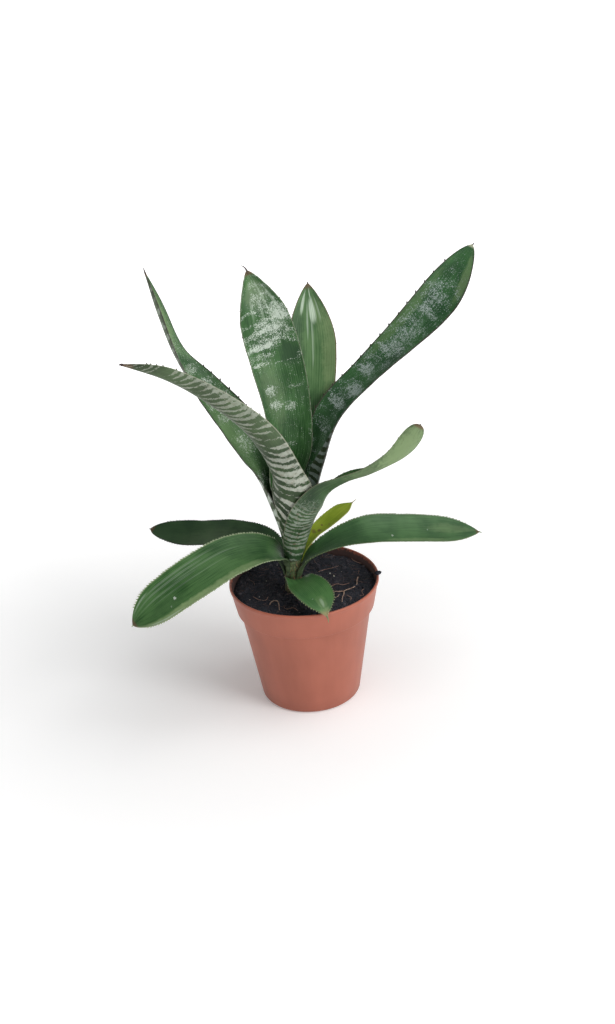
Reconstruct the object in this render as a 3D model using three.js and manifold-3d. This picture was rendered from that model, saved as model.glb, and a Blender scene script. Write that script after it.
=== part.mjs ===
// A potted aechmea: a banded bromeliad with eleven toothed strap leaves round a short stem, in a
// terracotta-coloured nursery pot filled with peat. Millimetres, +Z up, origin in the middle of the
// pot's foot. The front is -Y: the twisted leaf, the banded leaf and the smallest low leaf point there.
import * as THREE from "three";
import { mergeVertices } from "three/addons/utils/BufferGeometryUtils.js";
import Module from "manifold-3d";

const wasm = await Module();
wasm.setup();

// Driving dimensions.
const CLEARANCE = 0.35;
const POT = {
  height: 102,
  rimRadius: 60,
  bandHeight: 23,
  bandFootRadius: 55.5,
  bandStep: 0.8,
  bodyTopRadius: 52.8,
  footRadius: 40.5,
  footRounding: 2.5,
  wall: 1.2,
  floor: 1.8,
  floorRounding: 1.5,
  lipWidth: 1.6,
  lipHeight: 2.4,
  lipRounding: 0.8,
  segments: 56,
};
const DRAIN = { count: 8, radius: 3.6, circle: 27, sides: 10 };
const SOIL = {
  level: 95.5,
  relief: 1.3,
  rounding: 1.5,
  rings: [0.24, 0.4, 0.56, 0.72, 0.86, 0.96],
  segments: 36,
};
// Heights of the stem and of the sheaths are counted from the peat along the rosette's axis.
const STEM = {
  bottom: -26,
  buriedRadius: 5.2,
  radius: 6.1,
  taperFrom: 29,
  topRadius: 5.3,
  top: 56,
  rounding: 2,
  sides: 20,
};
const ROSETTE = { base: new THREE.Vector3(-9.3, -6, SOIL.level), lean: 4 };
const SHEATH = {
  thickness: 0.7,
  innermost: -2,
  pitch: 1.5,
  slope: 0.25,
  flare: 0.0008,
  flareFrom: 30,
  long: 20,
};
const BLADE = { thickness: 1.4, margin: 0.7, columns: 6, ringsPerSpan: 3, tipRings: 6 };
const TOOTH = { length: 2.6, sunk: 1.1, radius: 0.75, flatness: 0.5, sides: 3 };
const SPIKE = { length: 4.5, sunk: 2, radius: 0.9, flatness: 0.8, sides: 4 };
// Teeth lean towards the tip. Their row starts this many stations before the blade's first station
// and stops this many before its last.
const TOOTH_ROW = { lean: 0.6, startBefore: 0.6, stopBefore: 0.42 };

const COLOURS = {
  pot: 0xb4674b,
  peat: 0x2b2320,
  root: 0xb79a77,
  stem: 0x6f7a48,
  banded: 0x3d6b45,
  plain: 0x2f6a35,
  shaded: 0x24402a,
  young: 0x9aa83a,
};

// Each leaf starts as a sheath that wraps the stem in its own layer, layer 1 inside all others, and
// then runs through its blade stations. A station holds x, y, z of the midrib, the half width, the
// curl (half of the gutter's angle, in degrees) and the direction in which the upper face looks.
const LEAVES = [
  {
    name: "leaf_centre",
    colour: "banded",
    layer: 1,
    sheath: [55, 90],
    azimuth: [118, 118],
    half: [12, 17.5],
    blunt: 0.65,
    teeth: 12,
    blade: [
      [-4.5, 14, 214, 19, 48, 0.3, -1, 0.1],
      [-4.6, 22, 243, 19.6, 30, 0.3, -1, 0.15],
      [-10, 31, 276, 21.5, 28, 0.3, -1, 0.1],
      [-17, 35, 308, 20.6, 34, 0.3, -1, 0],
      [-26, 36, 346, 13, 50, 0.35, -1, -0.1],
    ],
  },
  {
    name: "leaf_right_tall",
    colour: "banded",
    layer: 2,
    sheath: [50, 84],
    azimuth: [32, 32],
    half: [13, 18],
    blunt: 0.65,
    teeth: 13,
    blade: [
      [18, 8, 200, 17.5, 48, -0.85, -0.5, 0.3],
      [32, 18, 233, 17, 48, -0.75, -0.5, 0.45],
      [60.5, 28, 260, 16.5, 38, -0.62, -0.45, 0.62],
      [92, 37, 286.5, 17.8, 28, -0.54, -0.57, 0.6],
      [117.5, 44, 311, 17.6, 24, -0.4, -0.75, 0.45],
      [145, 53, 349, 14.5, 24, -0.4, -0.85, 0.3],
    ],
  },
  {
    name: "leaf_left_tall",
    colour: "banded",
    layer: 4,
    sheath: [40, 56],
    azimuth: [172, 170],
    half: [12, 15],
    blunt: 0.8,
    teeth: 12,
    blade: [
      [-22, -2, 176, 18, 52, 0.95, -0.25, 0.15],
      [-30, 10, 204, 19, 48, 0.7, -0.7, 0.3],
      [-45, 20, 229, 18.5, 42, 0.65, -0.7, 0.4],
      [-68, 30, 258, 16, 44, 0.8, -0.55, 0.35],
      [-85, 35, 284, 11, 54, 1, -0.25, 0.25],
      [-95, 39, 316, 8.5, 64, 1, -0.15, 0.15],
      [-102, 40, 349, 5, 70, 1, -0.1, 0.1],
    ],
  },
  {
    name: "leaf_back_plain",
    colour: "plain",
    layer: 3,
    sheath: [45, 84],
    azimuth: [74, 74],
    half: [12, 15],
    blunt: 0.85,
    teeth: 9,
    blade: [
      [12, 25, 209, 16, 40, -0.15, -1, 0.2],
      [16, 38, 243, 19, 32, -0.1, -1, 0.35],
      [19, 55, 275, 20, 30, -0.05, -1, 0.35],
      [19, 71, 323, 18, 34, 0, -1, 0.25],
    ],
  },
  {
    name: "leaf_front_banded",
    colour: "banded",
    layer: 5,
    sheath: [35, 78],
    azimuth: [300, 278],
    half: [13, 17],
    blunt: 0.8,
    teeth: 12,
    blade: [
      [-12, -32, 206, 20, 62, 0.5, 0.65, 0.5],
      [-28, -42, 243, 20, 76, 0.55, 0.6, 0.5],
      [-55, -56, 277, 17, 84, 0.5, 0.5, 0.65],
      [-85, -67, 303, 13, 92, 0.4, 0.4, 0.8],
      [-113, -73, 318, 7, 110, 0.3, 0.4, 0.9],
    ],
  },
  {
    name: "leaf_front_twisted",
    colour: "banded",
    layer: 6,
    sheath: [29.5, 58],
    azimuth: [306, 310],
    half: [12.5, 18],
    blunt: 0.45,
    teeth: 10,
    blade: [
      [11, -24.6, 172, 19, 54, -0.6, 0.76, 0.35],
      [22, -27.5, 188.5, 15, 66, -0.5, 0.6, 0.65],
      [38, -32, 200, 11, 64, -0.38, 0.32, 0.85],
      [55, -37, 207, 10.5, 54, -0.35, 0.5, 0.8],
      [75, -41, 220.5, 9.2, 34, -0.2, 0.8, 0.4],
      [92.5, -44, 246, 11, 20, 0.05, 0.95, 0.05],
    ],
  },
  {
    name: "leaf_low_left_back",
    colour: "shaded",
    layer: 8.5,
    sheath: [15, 19],
    azimuth: [148, 148],
    half: [7, 8],
    blunt: 0.6,
    teeth: 8,
    blade: [
      [-30, 20, 127, 13, 26, 0.1, -0.25, 0.95],
      [-56, 40, 126, 15, 14, 0.05, -0.3, 0.95],
      [-90, 58, 119, 15, 12, 0, -0.3, 0.95],
      [-126, 73, 119, 14, 12, -0.05, -0.3, 0.95],
    ],
  },
  {
    name: "leaf_young",
    colour: "young",
    layer: 7.05,
    sheath: [24, 28.8],
    azimuth: [48, 48],
    half: [4.5, 5],
    blunt: 0.9,
    teeth: 4,
    blade: [
      [9, 9, 134, 6.5, 44, -0.5, -0.5, 0.65],
      [21, 18, 141, 7.5, 28, -0.5, -0.6, 0.6],
      [33, 27, 146, 7, 24, -0.5, -0.6, 0.6],
      [43, 35, 149, 5, 24, -0.5, -0.6, 0.6],
    ],
  },
  {
    name: "leaf_low_left_front",
    colour: "plain",
    layer: 7.05,
    sheath: [24, 28.8],
    azimuth: [197, 197],
    half: [6.5, 7.8],
    blunt: 0.65,
    teeth: 11,
    blade: [
      [-28, -20, 140, 14, 30, 0.1, -0.45, 0.9],
      [-52, -34, 144, 18, 20, -0.1, -0.55, 0.85],
      [-80, -50, 137, 19, 16, -0.25, -0.6, 0.75],
      [-107, -61, 124, 18, 18, -0.35, -0.6, 0.7],
      [-130, -69, 110, 16, 20, -0.4, -0.6, 0.7],
    ],
  },
  {
    name: "leaf_low_right",
    colour: "plain",
    layer: 8.5,
    sheath: [15, 19.5],
    azimuth: [353, 353],
    half: [7.5, 8.5],
    blunt: 0.75,
    teeth: 10,
    blade: [
      [25, -6, 135, 11.5, 34, -0.3, -0.25, 0.9],
      [52, -4, 142, 14, 22, 0, -0.4, 0.9],
      [82, 1, 139, 14, 16, 0.05, -0.4, 0.9],
      [112, 6, 133.5, 13, 14, 0.1, -0.4, 0.9],
      [142, 11, 127, 10, 14, 0.15, -0.4, 0.9],
    ],
  },
  {
    name: "leaf_low_front",
    colour: "plain",
    layer: 9.5,
    sheath: [8, 12],
    azimuth: [280, 280],
    half: [8, 8.5],
    blunt: 0.6,
    teeth: 6,
    blade: [
      [-1, -27, 112, 12.6, 26, 0, -0.2, 1],
      [5, -40, 113, 15, 16, 0.1, -0.3, 1],
      [11, -53, 110, 12, 16, 0.15, -0.4, 1],
      [16, -65, 103, 2.6, 20, 0.2, -0.5, 0.9],
    ],
  },
];

// Roots that lie bare on the peat: the points that each one, and each branch of it, runs through.
const ROOTS = [
  {
    name: "root_right",
    radius: 0.6,
    runs: [
      [[43, 4], [42, -5], [38, -13], [31, -17], [22, -14]],
      [[31, -17], [30, -25], [28, -36]],
    ],
  },
  { name: "root_front", radius: 0.5, runs: [[[19, -21], [22, -24], [25, -25], [27, -22]]] },
  {
    name: "root_left",
    radius: 0.6,
    runs: [[[-28, -29], [-25, -24], [-22, -26], [-20, -32], [-21, -39]]],
  },
];
const ROOT_TUBE = { sides: 5, stepsPerSpan: 4 };
const RIM_CRUMB = { at: [59.4, -3, POT.height + 1.9], radius: 2.5, flattening: [1, 0.8, 0.6] };

const MERGE_WITHIN = 1e-3;

const degrees = THREE.MathUtils.degToRad;

// A closed geometry as a solid that can be cut and joined.
function solidOf(geometry) {
  const bare = geometry.clone();
  bare.deleteAttribute("normal");
  bare.deleteAttribute("uv");
  const merged = mergeVertices(bare, MERGE_WITHIN);
  return new wasm.Manifold(
    new wasm.Mesh({
      numProp: 3,
      vertProperties: new Float32Array(merged.attributes.position.array),
      triVerts: new Uint32Array(merged.index.array),
    }),
  );
}

// Such a solid as a geometry again; a loose scrap that a cut leaves behind is dropped.
function geometryOf(solid) {
  const bodies = solid.decompose().sort((a, b) => b.volume() - a.volume());
  const mesh = bodies[0].getMesh();
  const positions = new Float32Array(mesh.numVert * 3);
  for (let i = 0; i < mesh.numVert; i++) {
    positions.set(mesh.vertProperties.subarray(i * mesh.numProp, i * mesh.numProp + 3), i * 3);
  }
  const geometry = new THREE.BufferGeometry();
  geometry.setAttribute("position", new THREE.BufferAttribute(positions, 3));
  geometry.setIndex(new THREE.BufferAttribute(mesh.triVerts, 1));
  geometry.computeVertexNormals();
  return geometry;
}

// A solid of revolution about +Z from [radius, height] pairs that start and end on the axis.
function turned(profile, segments) {
  const points = profile.map(([radius, height]) => new THREE.Vector2(radius, height));
  return new THREE.LatheGeometry(points, segments).rotateX(Math.PI / 2);
}

// Points of a quarter-circle rounding between two directions, given in degrees.
function quarterRound(centreRadius, centreHeight, radius, from, to, steps = 3) {
  const points = [];
  for (let i = 0; i <= steps; i++) {
    const angle = degrees(from + ((to - from) * i) / steps);
    points.push([centreRadius + radius * Math.cos(angle), centreHeight + radius * Math.sin(angle)]);
  }
  return points;
}

// The inside of the pot, as [radius, height] pairs from its floor to its rim.
function potInside() {
  const bandFoot = POT.height - POT.bandHeight;
  return [
    [POT.footRadius - POT.wall - POT.floorRounding, POT.floor],
    [POT.footRadius - POT.wall, POT.floor + POT.floorRounding],
    [POT.bodyTopRadius - POT.wall, bandFoot - POT.bandStep],
    [POT.bandFootRadius - POT.wall, bandFoot + POT.wall],
    [POT.rimRadius - POT.lipWidth, POT.height],
  ];
}

function makePot() {
  const bandFoot = POT.height - POT.bandHeight;
  const foot = POT.footRounding;
  const lip = POT.lipRounding;
  const underLip = POT.rimRadius - POT.lipWidth / 2;
  const outside = [
    [0, 0],
    ...quarterRound(POT.footRadius - foot, foot, foot, -90, 0),
    [POT.bodyTopRadius, bandFoot],
    [POT.bandFootRadius, bandFoot + POT.bandStep],
    [underLip, POT.height - POT.lipHeight],
    ...quarterRound(POT.rimRadius - lip, POT.height - lip, lip, 0, 90, 2),
  ];
  const profile = [...outside, ...potInside().reverse(), [0, POT.floor]];
  let shell = solidOf(turned(profile, POT.segments));
  for (let i = 0; i < DRAIN.count; i++) {
    const hole = new THREE.CylinderGeometry(DRAIN.radius, DRAIN.radius, 4 * POT.floor, DRAIN.sides);
    const around = (2 * Math.PI * i) / DRAIN.count;
    hole.rotateX(Math.PI / 2);
    hole.translate(DRAIN.circle * Math.cos(around), DRAIN.circle * Math.sin(around), 0);
    shell = shell.subtract(solidOf(hole));
  }
  return geometryOf(shell);
}

// The height of the peat's uneven surface.
function peatHeight(x, y) {
  const swell = 0.6 * Math.sin(0.13 * x + 0.6) * Math.cos(0.11 * y - 0.4);
  const lumps = 0.4 * Math.sin(0.31 * x - 0.23 * y + 1.3) * Math.cos(0.27 * y + 0.19 * x);
  return SOIL.level + SOIL.relief * (swell + lumps);
}

// A point given in the rosette's own leaning frame: radius and azimuth about its axis, and height.
function onRosette(radius, azimuth, height) {
  const around = degrees(azimuth);
  return new THREE.Vector3(radius * Math.cos(around), radius * Math.sin(around), height)
    .applyAxisAngle(new THREE.Vector3(0, 1, 0), degrees(ROSETTE.lean))
    .add(ROSETTE.base);
}

const rosetteAxis = onRosette(0, 0, 1).sub(ROSETTE.base);

// The stem, in the rosette's frame; extra thickens it all round.
function makeStem(extra = 0) {
  const profile = [
    [0, STEM.bottom - extra],
    [STEM.buriedRadius - STEM.rounding + extra, STEM.bottom - extra],
    [STEM.buriedRadius + extra, STEM.bottom + STEM.rounding],
    [STEM.radius + extra, -STEM.rounding],
    [STEM.radius + extra, STEM.taperFrom],
    [STEM.topRadius + extra, STEM.top - STEM.rounding],
    [STEM.topRadius - STEM.rounding + extra, STEM.top + extra],
    [0, STEM.top + extra],
  ];
  const post = turned(profile, STEM.sides);
  post.rotateY(degrees(ROSETTE.lean));
  return solidOf(post.translate(ROSETTE.base.x, ROSETTE.base.y, ROSETTE.base.z));
}

function makePeat() {
  const inside = potInside().filter(([, height]) => height < SOIL.level);
  const [[bandRadius, bandLevel], [rimRadius, rimLevel]] = potInside().slice(-2);
  const share = (SOIL.level - bandLevel) / (rimLevel - bandLevel);
  const edge = THREE.MathUtils.lerp(bandRadius, rimRadius, share) - 2 * CLEARANCE;
  const side = inside.map(([radius, height]) => [radius - 2 * CLEARANCE, height + CLEARANCE]);
  const top = [...SOIL.rings].reverse().map((ring) => [edge * ring, SOIL.level]);
  const shoulder = [edge, SOIL.level - SOIL.rounding];
  const profile = [[0, POT.floor + CLEARANCE], ...side, shoulder, ...top, [0, SOIL.level]];
  const body = turned(profile, SOIL.segments);
  const position = body.attributes.position;
  for (let i = 0; i < position.count; i++) {
    const onTop = position.getZ(i) > SOIL.level - SOIL.rounding / 2;
    if (onTop) {
      position.setZ(i, peatHeight(position.getX(i), position.getY(i)));
    }
  }
  return geometryOf(solidOf(body).subtract(makeStem(CLEARANCE)));
}

// The radius of a sheath layer at a height on the rosette's axis: a trumpet that opens upwards.
function sheathRadius(layer, height) {
  const above = height - SHEATH.flareFrom;
  return SHEATH.innermost + SHEATH.pitch * layer + SHEATH.slope * above + SHEATH.flare * above * above;
}

// A long sheath has more stations than a short one, so that it keeps to its layer.
const sheathStations = (leaf) => (leaf.sheath[1] - leaf.sheath[0] > SHEATH.long ? 4 : 2);

// The stations of a leaf from the stem to its tip, each with its place, form and facing.
function stationsOf(leaf) {
  const count = sheathStations(leaf);
  const stations = [];
  for (let i = 0; i < count; i++) {
    const share = i / (count - 1);
    const height = THREE.MathUtils.lerp(...leaf.sheath, share);
    const radius = sheathRadius(leaf.layer, height);
    const half = THREE.MathUtils.lerp(...leaf.half, share);
    const place = onRosette(radius, THREE.MathUtils.lerp(...leaf.azimuth, share), height);
    const facing = onRosette(0, 0, height).sub(place).normalize();
    stations.push({ place, half, curl: half / radius, sheath: 1, facing });
  }
  for (const [x, y, z, half, curl, ...facing] of leaf.blade) {
    stations.push({
      place: new THREE.Vector3(x, y, z),
      half,
      curl: degrees(curl),
      sheath: 0,
      facing: new THREE.Vector3(...facing).normalize(),
    });
  }
  return stations;
}

// One smooth course through all of a leaf's stations: at(t) gives the frame of its section there.
// A blade's sections stand square to the midrib, a sheath's square to the rosette's axis.
function courseOf(leaf) {
  const stations = stationsOf(leaf);
  const curve = (points) => new THREE.CatmullRomCurve3(points, false, "catmullrom", 0.5);
  const spine = new THREE.CatmullRomCurve3(stations.map((s) => s.place), false, "chordal");
  const form = curve(stations.map((s) => new THREE.Vector3(s.half, s.curl, s.sheath)));
  const facing = curve(stations.map((s) => s.facing));
  const spans = stations.length - 1;
  return {
    spans,
    at(t) {
      const along = spine.getTangent(t);
      const shape = form.getPoint(t);
      const sheathed = THREE.MathUtils.clamp(shape.z, 0, 1);
      const squareTo = along.clone().lerp(rosetteAxis, sheathed).normalize();
      const upper = facing.getPoint(t).projectOnPlane(squareTo).normalize();
      const across = new THREE.Vector3().crossVectors(squareTo, upper).normalize();
      const tip = Math.max(0, t * spans - (spans - 1));
      const half = shape.x * Math.pow(Math.max(0, 1 - tip * tip), leaf.blunt);
      const middle = THREE.MathUtils.lerp(BLADE.thickness, SHEATH.thickness, sheathed);
      return { place: spine.getPoint(t), along, upper, across, half, curl: shape.y, middle };
    },
  };
}

// A point of the blade's middle surface, share -1 to 1 from margin to margin, with its outward and
// normal directions: the section is an arc that hollows the upper face.
function sectionPoint(frame, share) {
  const angle = share * frame.curl;
  const bend = frame.half / frame.curl;
  const point = frame.place
    .clone()
    .addScaledVector(frame.across, bend * Math.sin(angle))
    .addScaledVector(frame.upper, bend * (1 - Math.cos(angle)));
  const normal = frame.upper
    .clone()
    .multiplyScalar(Math.cos(angle))
    .addScaledVector(frame.across, -Math.sin(angle));
  const outward = frame.across
    .clone()
    .multiplyScalar(Math.cos(angle))
    .addScaledVector(frame.upper, Math.sin(angle))
    .multiplyScalar(Math.sign(share) || 1);
  return { point, normal, outward };
}

// The places along a leaf, as shares of its course, where its sections stand.
function ringPlaces(spans) {
  const places = [];
  for (let span = 0; span < spans - 1; span++) {
    for (let i = 0; i < BLADE.ringsPerSpan; i++) {
      places.push((span + i / BLADE.ringsPerSpan) / spans);
    }
  }
  for (let i = 0; i < BLADE.tipRings; i++) {
    places.push((spans - 1 + Math.sin((Math.PI / 2) * (i / BLADE.tipRings))) / spans);
  }
  return places;
}

// A blade as a closed solid, thicker at the midrib than at its margins. grow thickens it all round.
function bladeSolid(leaf, course, grow = 0) {
  const columns = BLADE.columns;
  const positions = [];
  const ring = 2 * (columns + 1);
  const places = ringPlaces(course.spans);
  for (const t of places) {
    const frame = course.at(t);
    frame.half += grow;
    for (const side of [1, -1]) {
      for (let j = 0; j <= columns; j++) {
        const share = side * ((2 * j) / columns - 1);
        const { point, normal } = sectionPoint(frame, share);
        const thick = THREE.MathUtils.lerp(frame.middle, BLADE.margin, share * share) / 2 + grow;
        positions.push(...point.addScaledVector(normal, side * thick));
      }
    }
  }
  positions.push(...course.at(1).place.addScaledVector(course.at(1).along, grow));
  const apex = places.length * ring;
  const faces = [];
  // The upper and lower face are split into triangles alike, so that a thin blade never crosses itself.
  for (let r = 0; r < places.length - 1; r++) {
    for (let k = 0; k < ring; k++) {
      const a = r * ring + k;
      const b = r * ring + ((k + 1) % ring);
      const aNext = a + ring;
      const bNext = b + ring;
      faces.push(...(k <= columns ? [a, b, bNext, a, bNext, aNext] : [a, b, aNext, b, bNext, aNext]));
    }
  }
  for (let j = 0; j < columns; j++) {
    const upper = [j, j + 1];
    const lower = [ring - 1 - j, ring - 2 - j];
    faces.push(upper[0], lower[1], upper[1], upper[0], lower[0], lower[1]);
  }
  const last = (places.length - 1) * ring;
  for (let k = 0; k < ring; k++) {
    faces.push(last + k, last + ((k + 1) % ring), apex);
  }
  const geometry = new THREE.BufferGeometry();
  geometry.setAttribute("position", new THREE.Float32BufferAttribute(positions, 3));
  geometry.setIndex(faces);
  return solidOf(geometry);
}

// A small flattened spike from root along a direction, sunk into what it grows from.
function spike(root, direction, normal, size) {
  const cone = new THREE.ConeGeometry(size.radius, size.length, size.sides);
  cone.translate(0, size.length / 2 - size.sunk, 0);
  const side = new THREE.Vector3().crossVectors(direction, normal).normalize();
  const flat = new THREE.Vector3().crossVectors(side, direction).multiplyScalar(size.flatness);
  const pose = new THREE.Matrix4().makeBasis(side, direction, flat).setPosition(root);
  return solidOf(cone.applyMatrix4(pose));
}

// The marginal teeth of a leaf, in pairs from the sheath to near the tip, and its pointed end.
function teethOf(leaf, course, grow = 0) {
  const made = [];
  const tooth = { ...TOOTH, radius: TOOTH.radius + grow, length: TOOTH.length + 2 * grow };
  const first = (sheathStations(leaf) - TOOTH_ROW.startBefore) / course.spans;
  const last = (course.spans - TOOTH_ROW.stopBefore) / course.spans;
  for (let i = 0; i < leaf.teeth; i++) {
    const frame = course.at(first + ((last - first) * i) / (leaf.teeth - 1));
    for (const share of [-1, 1]) {
      const { point, normal, outward } = sectionPoint(frame, share);
      const direction = outward.addScaledVector(frame.along, TOOTH_ROW.lean).normalize();
      made.push(spike(point, direction, normal, tooth));
    }
  }
  const end = course.at(1);
  made.push(spike(end.place, end.along, end.upper, SPIKE));
  return made;
}

// All leaves, from the innermost out: each is cut clear of any that it grazes further in.
function makeLeaves() {
  const grown = [];
  for (const leaf of LEAVES) {
    const course = courseOf(leaf);
    const whole = wasm.Manifold.union([bladeSolid(leaf, course), ...teethOf(leaf, course)]);
    const clear = grown.reduce((solid, inner) => solid.subtract(inner.guard), whole);
    const guard = [bladeSolid(leaf, course, CLEARANCE), ...teethOf(leaf, course, CLEARANCE)];
    grown.push({ leaf, solid: clear, guard: wasm.Manifold.union(guard) });
  }
  const stemSpace = makeStem(CLEARANCE);
  return grown.map(({ leaf, solid }) => ({ leaf, geometry: geometryOf(solid.subtract(stemSpace)) }));
}

// A root as one branching run of thin tubes lying on the peat.
function makeRoot(root) {
  const lift = root.radius + 2 * CLEARANCE;
  const section = new THREE.Shape(
    Array.from({ length: ROOT_TUBE.sides }, (_, i) => {
      const around = (2 * Math.PI * i) / ROOT_TUBE.sides;
      return new THREE.Vector2(root.radius * Math.cos(around), root.radius * Math.sin(around));
    }),
  );
  const tubes = root.runs.map((run) => {
    const path = new THREE.CatmullRomCurve3(
      run.map(([x, y]) => new THREE.Vector3(x, y, peatHeight(x, y) + lift)),
    );
    const steps = ROOT_TUBE.stepsPerSpan * (run.length - 1);
    return solidOf(new THREE.ExtrudeGeometry(section, { steps, bevelEnabled: false, extrudePath: path }));
  });
  return geometryOf(wasm.Manifold.union(tubes));
}

function makeRimCrumb() {
  const lump = new THREE.IcosahedronGeometry(RIM_CRUMB.radius, 1).scale(...RIM_CRUMB.flattening);
  return geometryOf(solidOf(lump.translate(...RIM_CRUMB.at)));
}

const plant = new THREE.Group();

function addNode(name, geometry, colour, roughness) {
  const material = new THREE.MeshStandardMaterial({ color: COLOURS[colour], roughness, metalness: 0 });
  const mesh = new THREE.Mesh(geometry, material);
  mesh.name = name;
  plant.add(mesh);
}

addNode("pot", makePot(), "pot", 0.5);
addNode("peat", makePeat(), "peat", 0.95);
addNode("stem", geometryOf(makeStem()), "stem", 0.7);
for (const { leaf, geometry } of makeLeaves()) {
  addNode(leaf.name, geometry, leaf.colour, 0.45);
}
for (const root of ROOTS) {
  addNode(root.name, makeRoot(root), "root", 0.8);
}
addNode("rim_crumb", makeRimCrumb(), "peat", 0.95);

export default plant;
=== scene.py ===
"""A potted aechmea in its studio: fine leaves, stem, peat, roots and pot, built over the fixed frame.

Lengths in the classes are millimetres, as on the frame's drawings, and every mesh is in metres.
The sizes of a leaf are repeated from the frame, so that each fine blade lies where its solid does.
"""

from __future__ import annotations

import logging
import math
import random
from dataclasses import dataclass, field
from enum import Enum
from typing import Callable, Iterable, Sequence

import bpy
import numpy as np
from mathutils import Matrix, Vector, noise

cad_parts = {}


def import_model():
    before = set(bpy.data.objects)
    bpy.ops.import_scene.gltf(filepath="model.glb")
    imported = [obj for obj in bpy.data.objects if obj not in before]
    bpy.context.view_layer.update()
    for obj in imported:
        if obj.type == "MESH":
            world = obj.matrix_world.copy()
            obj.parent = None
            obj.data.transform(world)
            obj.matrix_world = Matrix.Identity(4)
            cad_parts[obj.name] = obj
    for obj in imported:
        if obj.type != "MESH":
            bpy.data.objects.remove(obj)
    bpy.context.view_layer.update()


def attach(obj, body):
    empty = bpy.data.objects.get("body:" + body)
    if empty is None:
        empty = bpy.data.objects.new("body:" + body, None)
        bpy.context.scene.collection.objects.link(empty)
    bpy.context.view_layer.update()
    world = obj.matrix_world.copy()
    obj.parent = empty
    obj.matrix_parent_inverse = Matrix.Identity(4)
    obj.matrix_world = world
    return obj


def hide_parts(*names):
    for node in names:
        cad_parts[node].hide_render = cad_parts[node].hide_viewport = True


LOG = logging.getLogger("potted_aechmea")
MM = 0.001

Colour = tuple[float, float, float, float]
Number = "float | Wire"


def paint(red: int, green: int, blue: int) -> Colour:
    """A screen colour, each part 0 to 255, as the linear colour that a shader takes."""
    linear = [
        part / 12.92 if part <= 0.04045 else ((part + 0.055) / 1.055) ** 2.4
        for part in (red / 255, green / 255, blue / 255)
    ]
    return (*linear, 1.0)


def blend(start: float, end: float, share: float) -> float:
    """The number that lies at a share of the way from start to end."""
    return start + (end - start) * share


def smooth(low: float, high: float, value: float) -> float:
    """A share that rises smoothly from 0 at low to 1 at high."""
    share = min(1.0, max(0.0, (value - low) / (high - low)))
    return share * share * (3 - 2 * share)


# Shader expressions


class Wire:
    """A value inside a material, with the operators that the finishes use."""

    def __init__(self, graph: Graph, socket: bpy.types.NodeSocket) -> None:
        """Wraps a socket.

        Args:
            graph: The material's graph, which adds the nodes of an expression.
            socket: The output that carries the value.
        """
        self.graph = graph
        self.socket = socket

    def _math(self, operation: str, first: Number, second: Number = 0.0) -> Wire:
        """One Math node on two values."""
        return self.graph.node("ShaderNodeMath", {"operation": operation}, {0: first, 1: second})

    def __add__(self, other: Number) -> Wire:
        """self + other."""
        return self._math("ADD", self, other)

    def __radd__(self, other: Number) -> Wire:
        """other + self."""
        return self._math("ADD", other, self)

    def __sub__(self, other: Number) -> Wire:
        """self - other."""
        return self._math("SUBTRACT", self, other)

    def __rsub__(self, other: Number) -> Wire:
        """other - self."""
        return self._math("SUBTRACT", other, self)

    def __mul__(self, other: Number) -> Wire:
        """self * other."""
        return self._math("MULTIPLY", self, other)

    def __rmul__(self, other: Number) -> Wire:
        """other * self."""
        return self._math("MULTIPLY", other, self)

    def __pow__(self, other: Number) -> Wire:
        """self ** other, for values of 0 or more."""
        return self._math("POWER", self, other)

    def size(self) -> Wire:
        """The value without its sign."""
        return self._math("ABSOLUTE", self)

    def sine(self) -> Wire:
        """The sine of the value in radians."""
        return self._math("SINE", self)

    def most(self, other: Number) -> Wire:
        """The larger of two values."""
        return self._math("MAXIMUM", self, other)

    def swing(self, depth: Number) -> Wire:
        """A noise round 0.5 as a swing round 0."""
        return (self - 0.5) * depth

    def rise(self, low: Number, high: Number) -> Wire:
        """A mask that rises smoothly from 0 at low to 1 at high, or falls if low is the larger."""
        return self.graph.node(
            "ShaderNodeMapRange",
            {"interpolation_type": "SMOOTHSTEP"},
            {"Value": self, "From Min": low, "From Max": high, "To Min": 0.0, "To Max": 1.0},
        )


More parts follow.
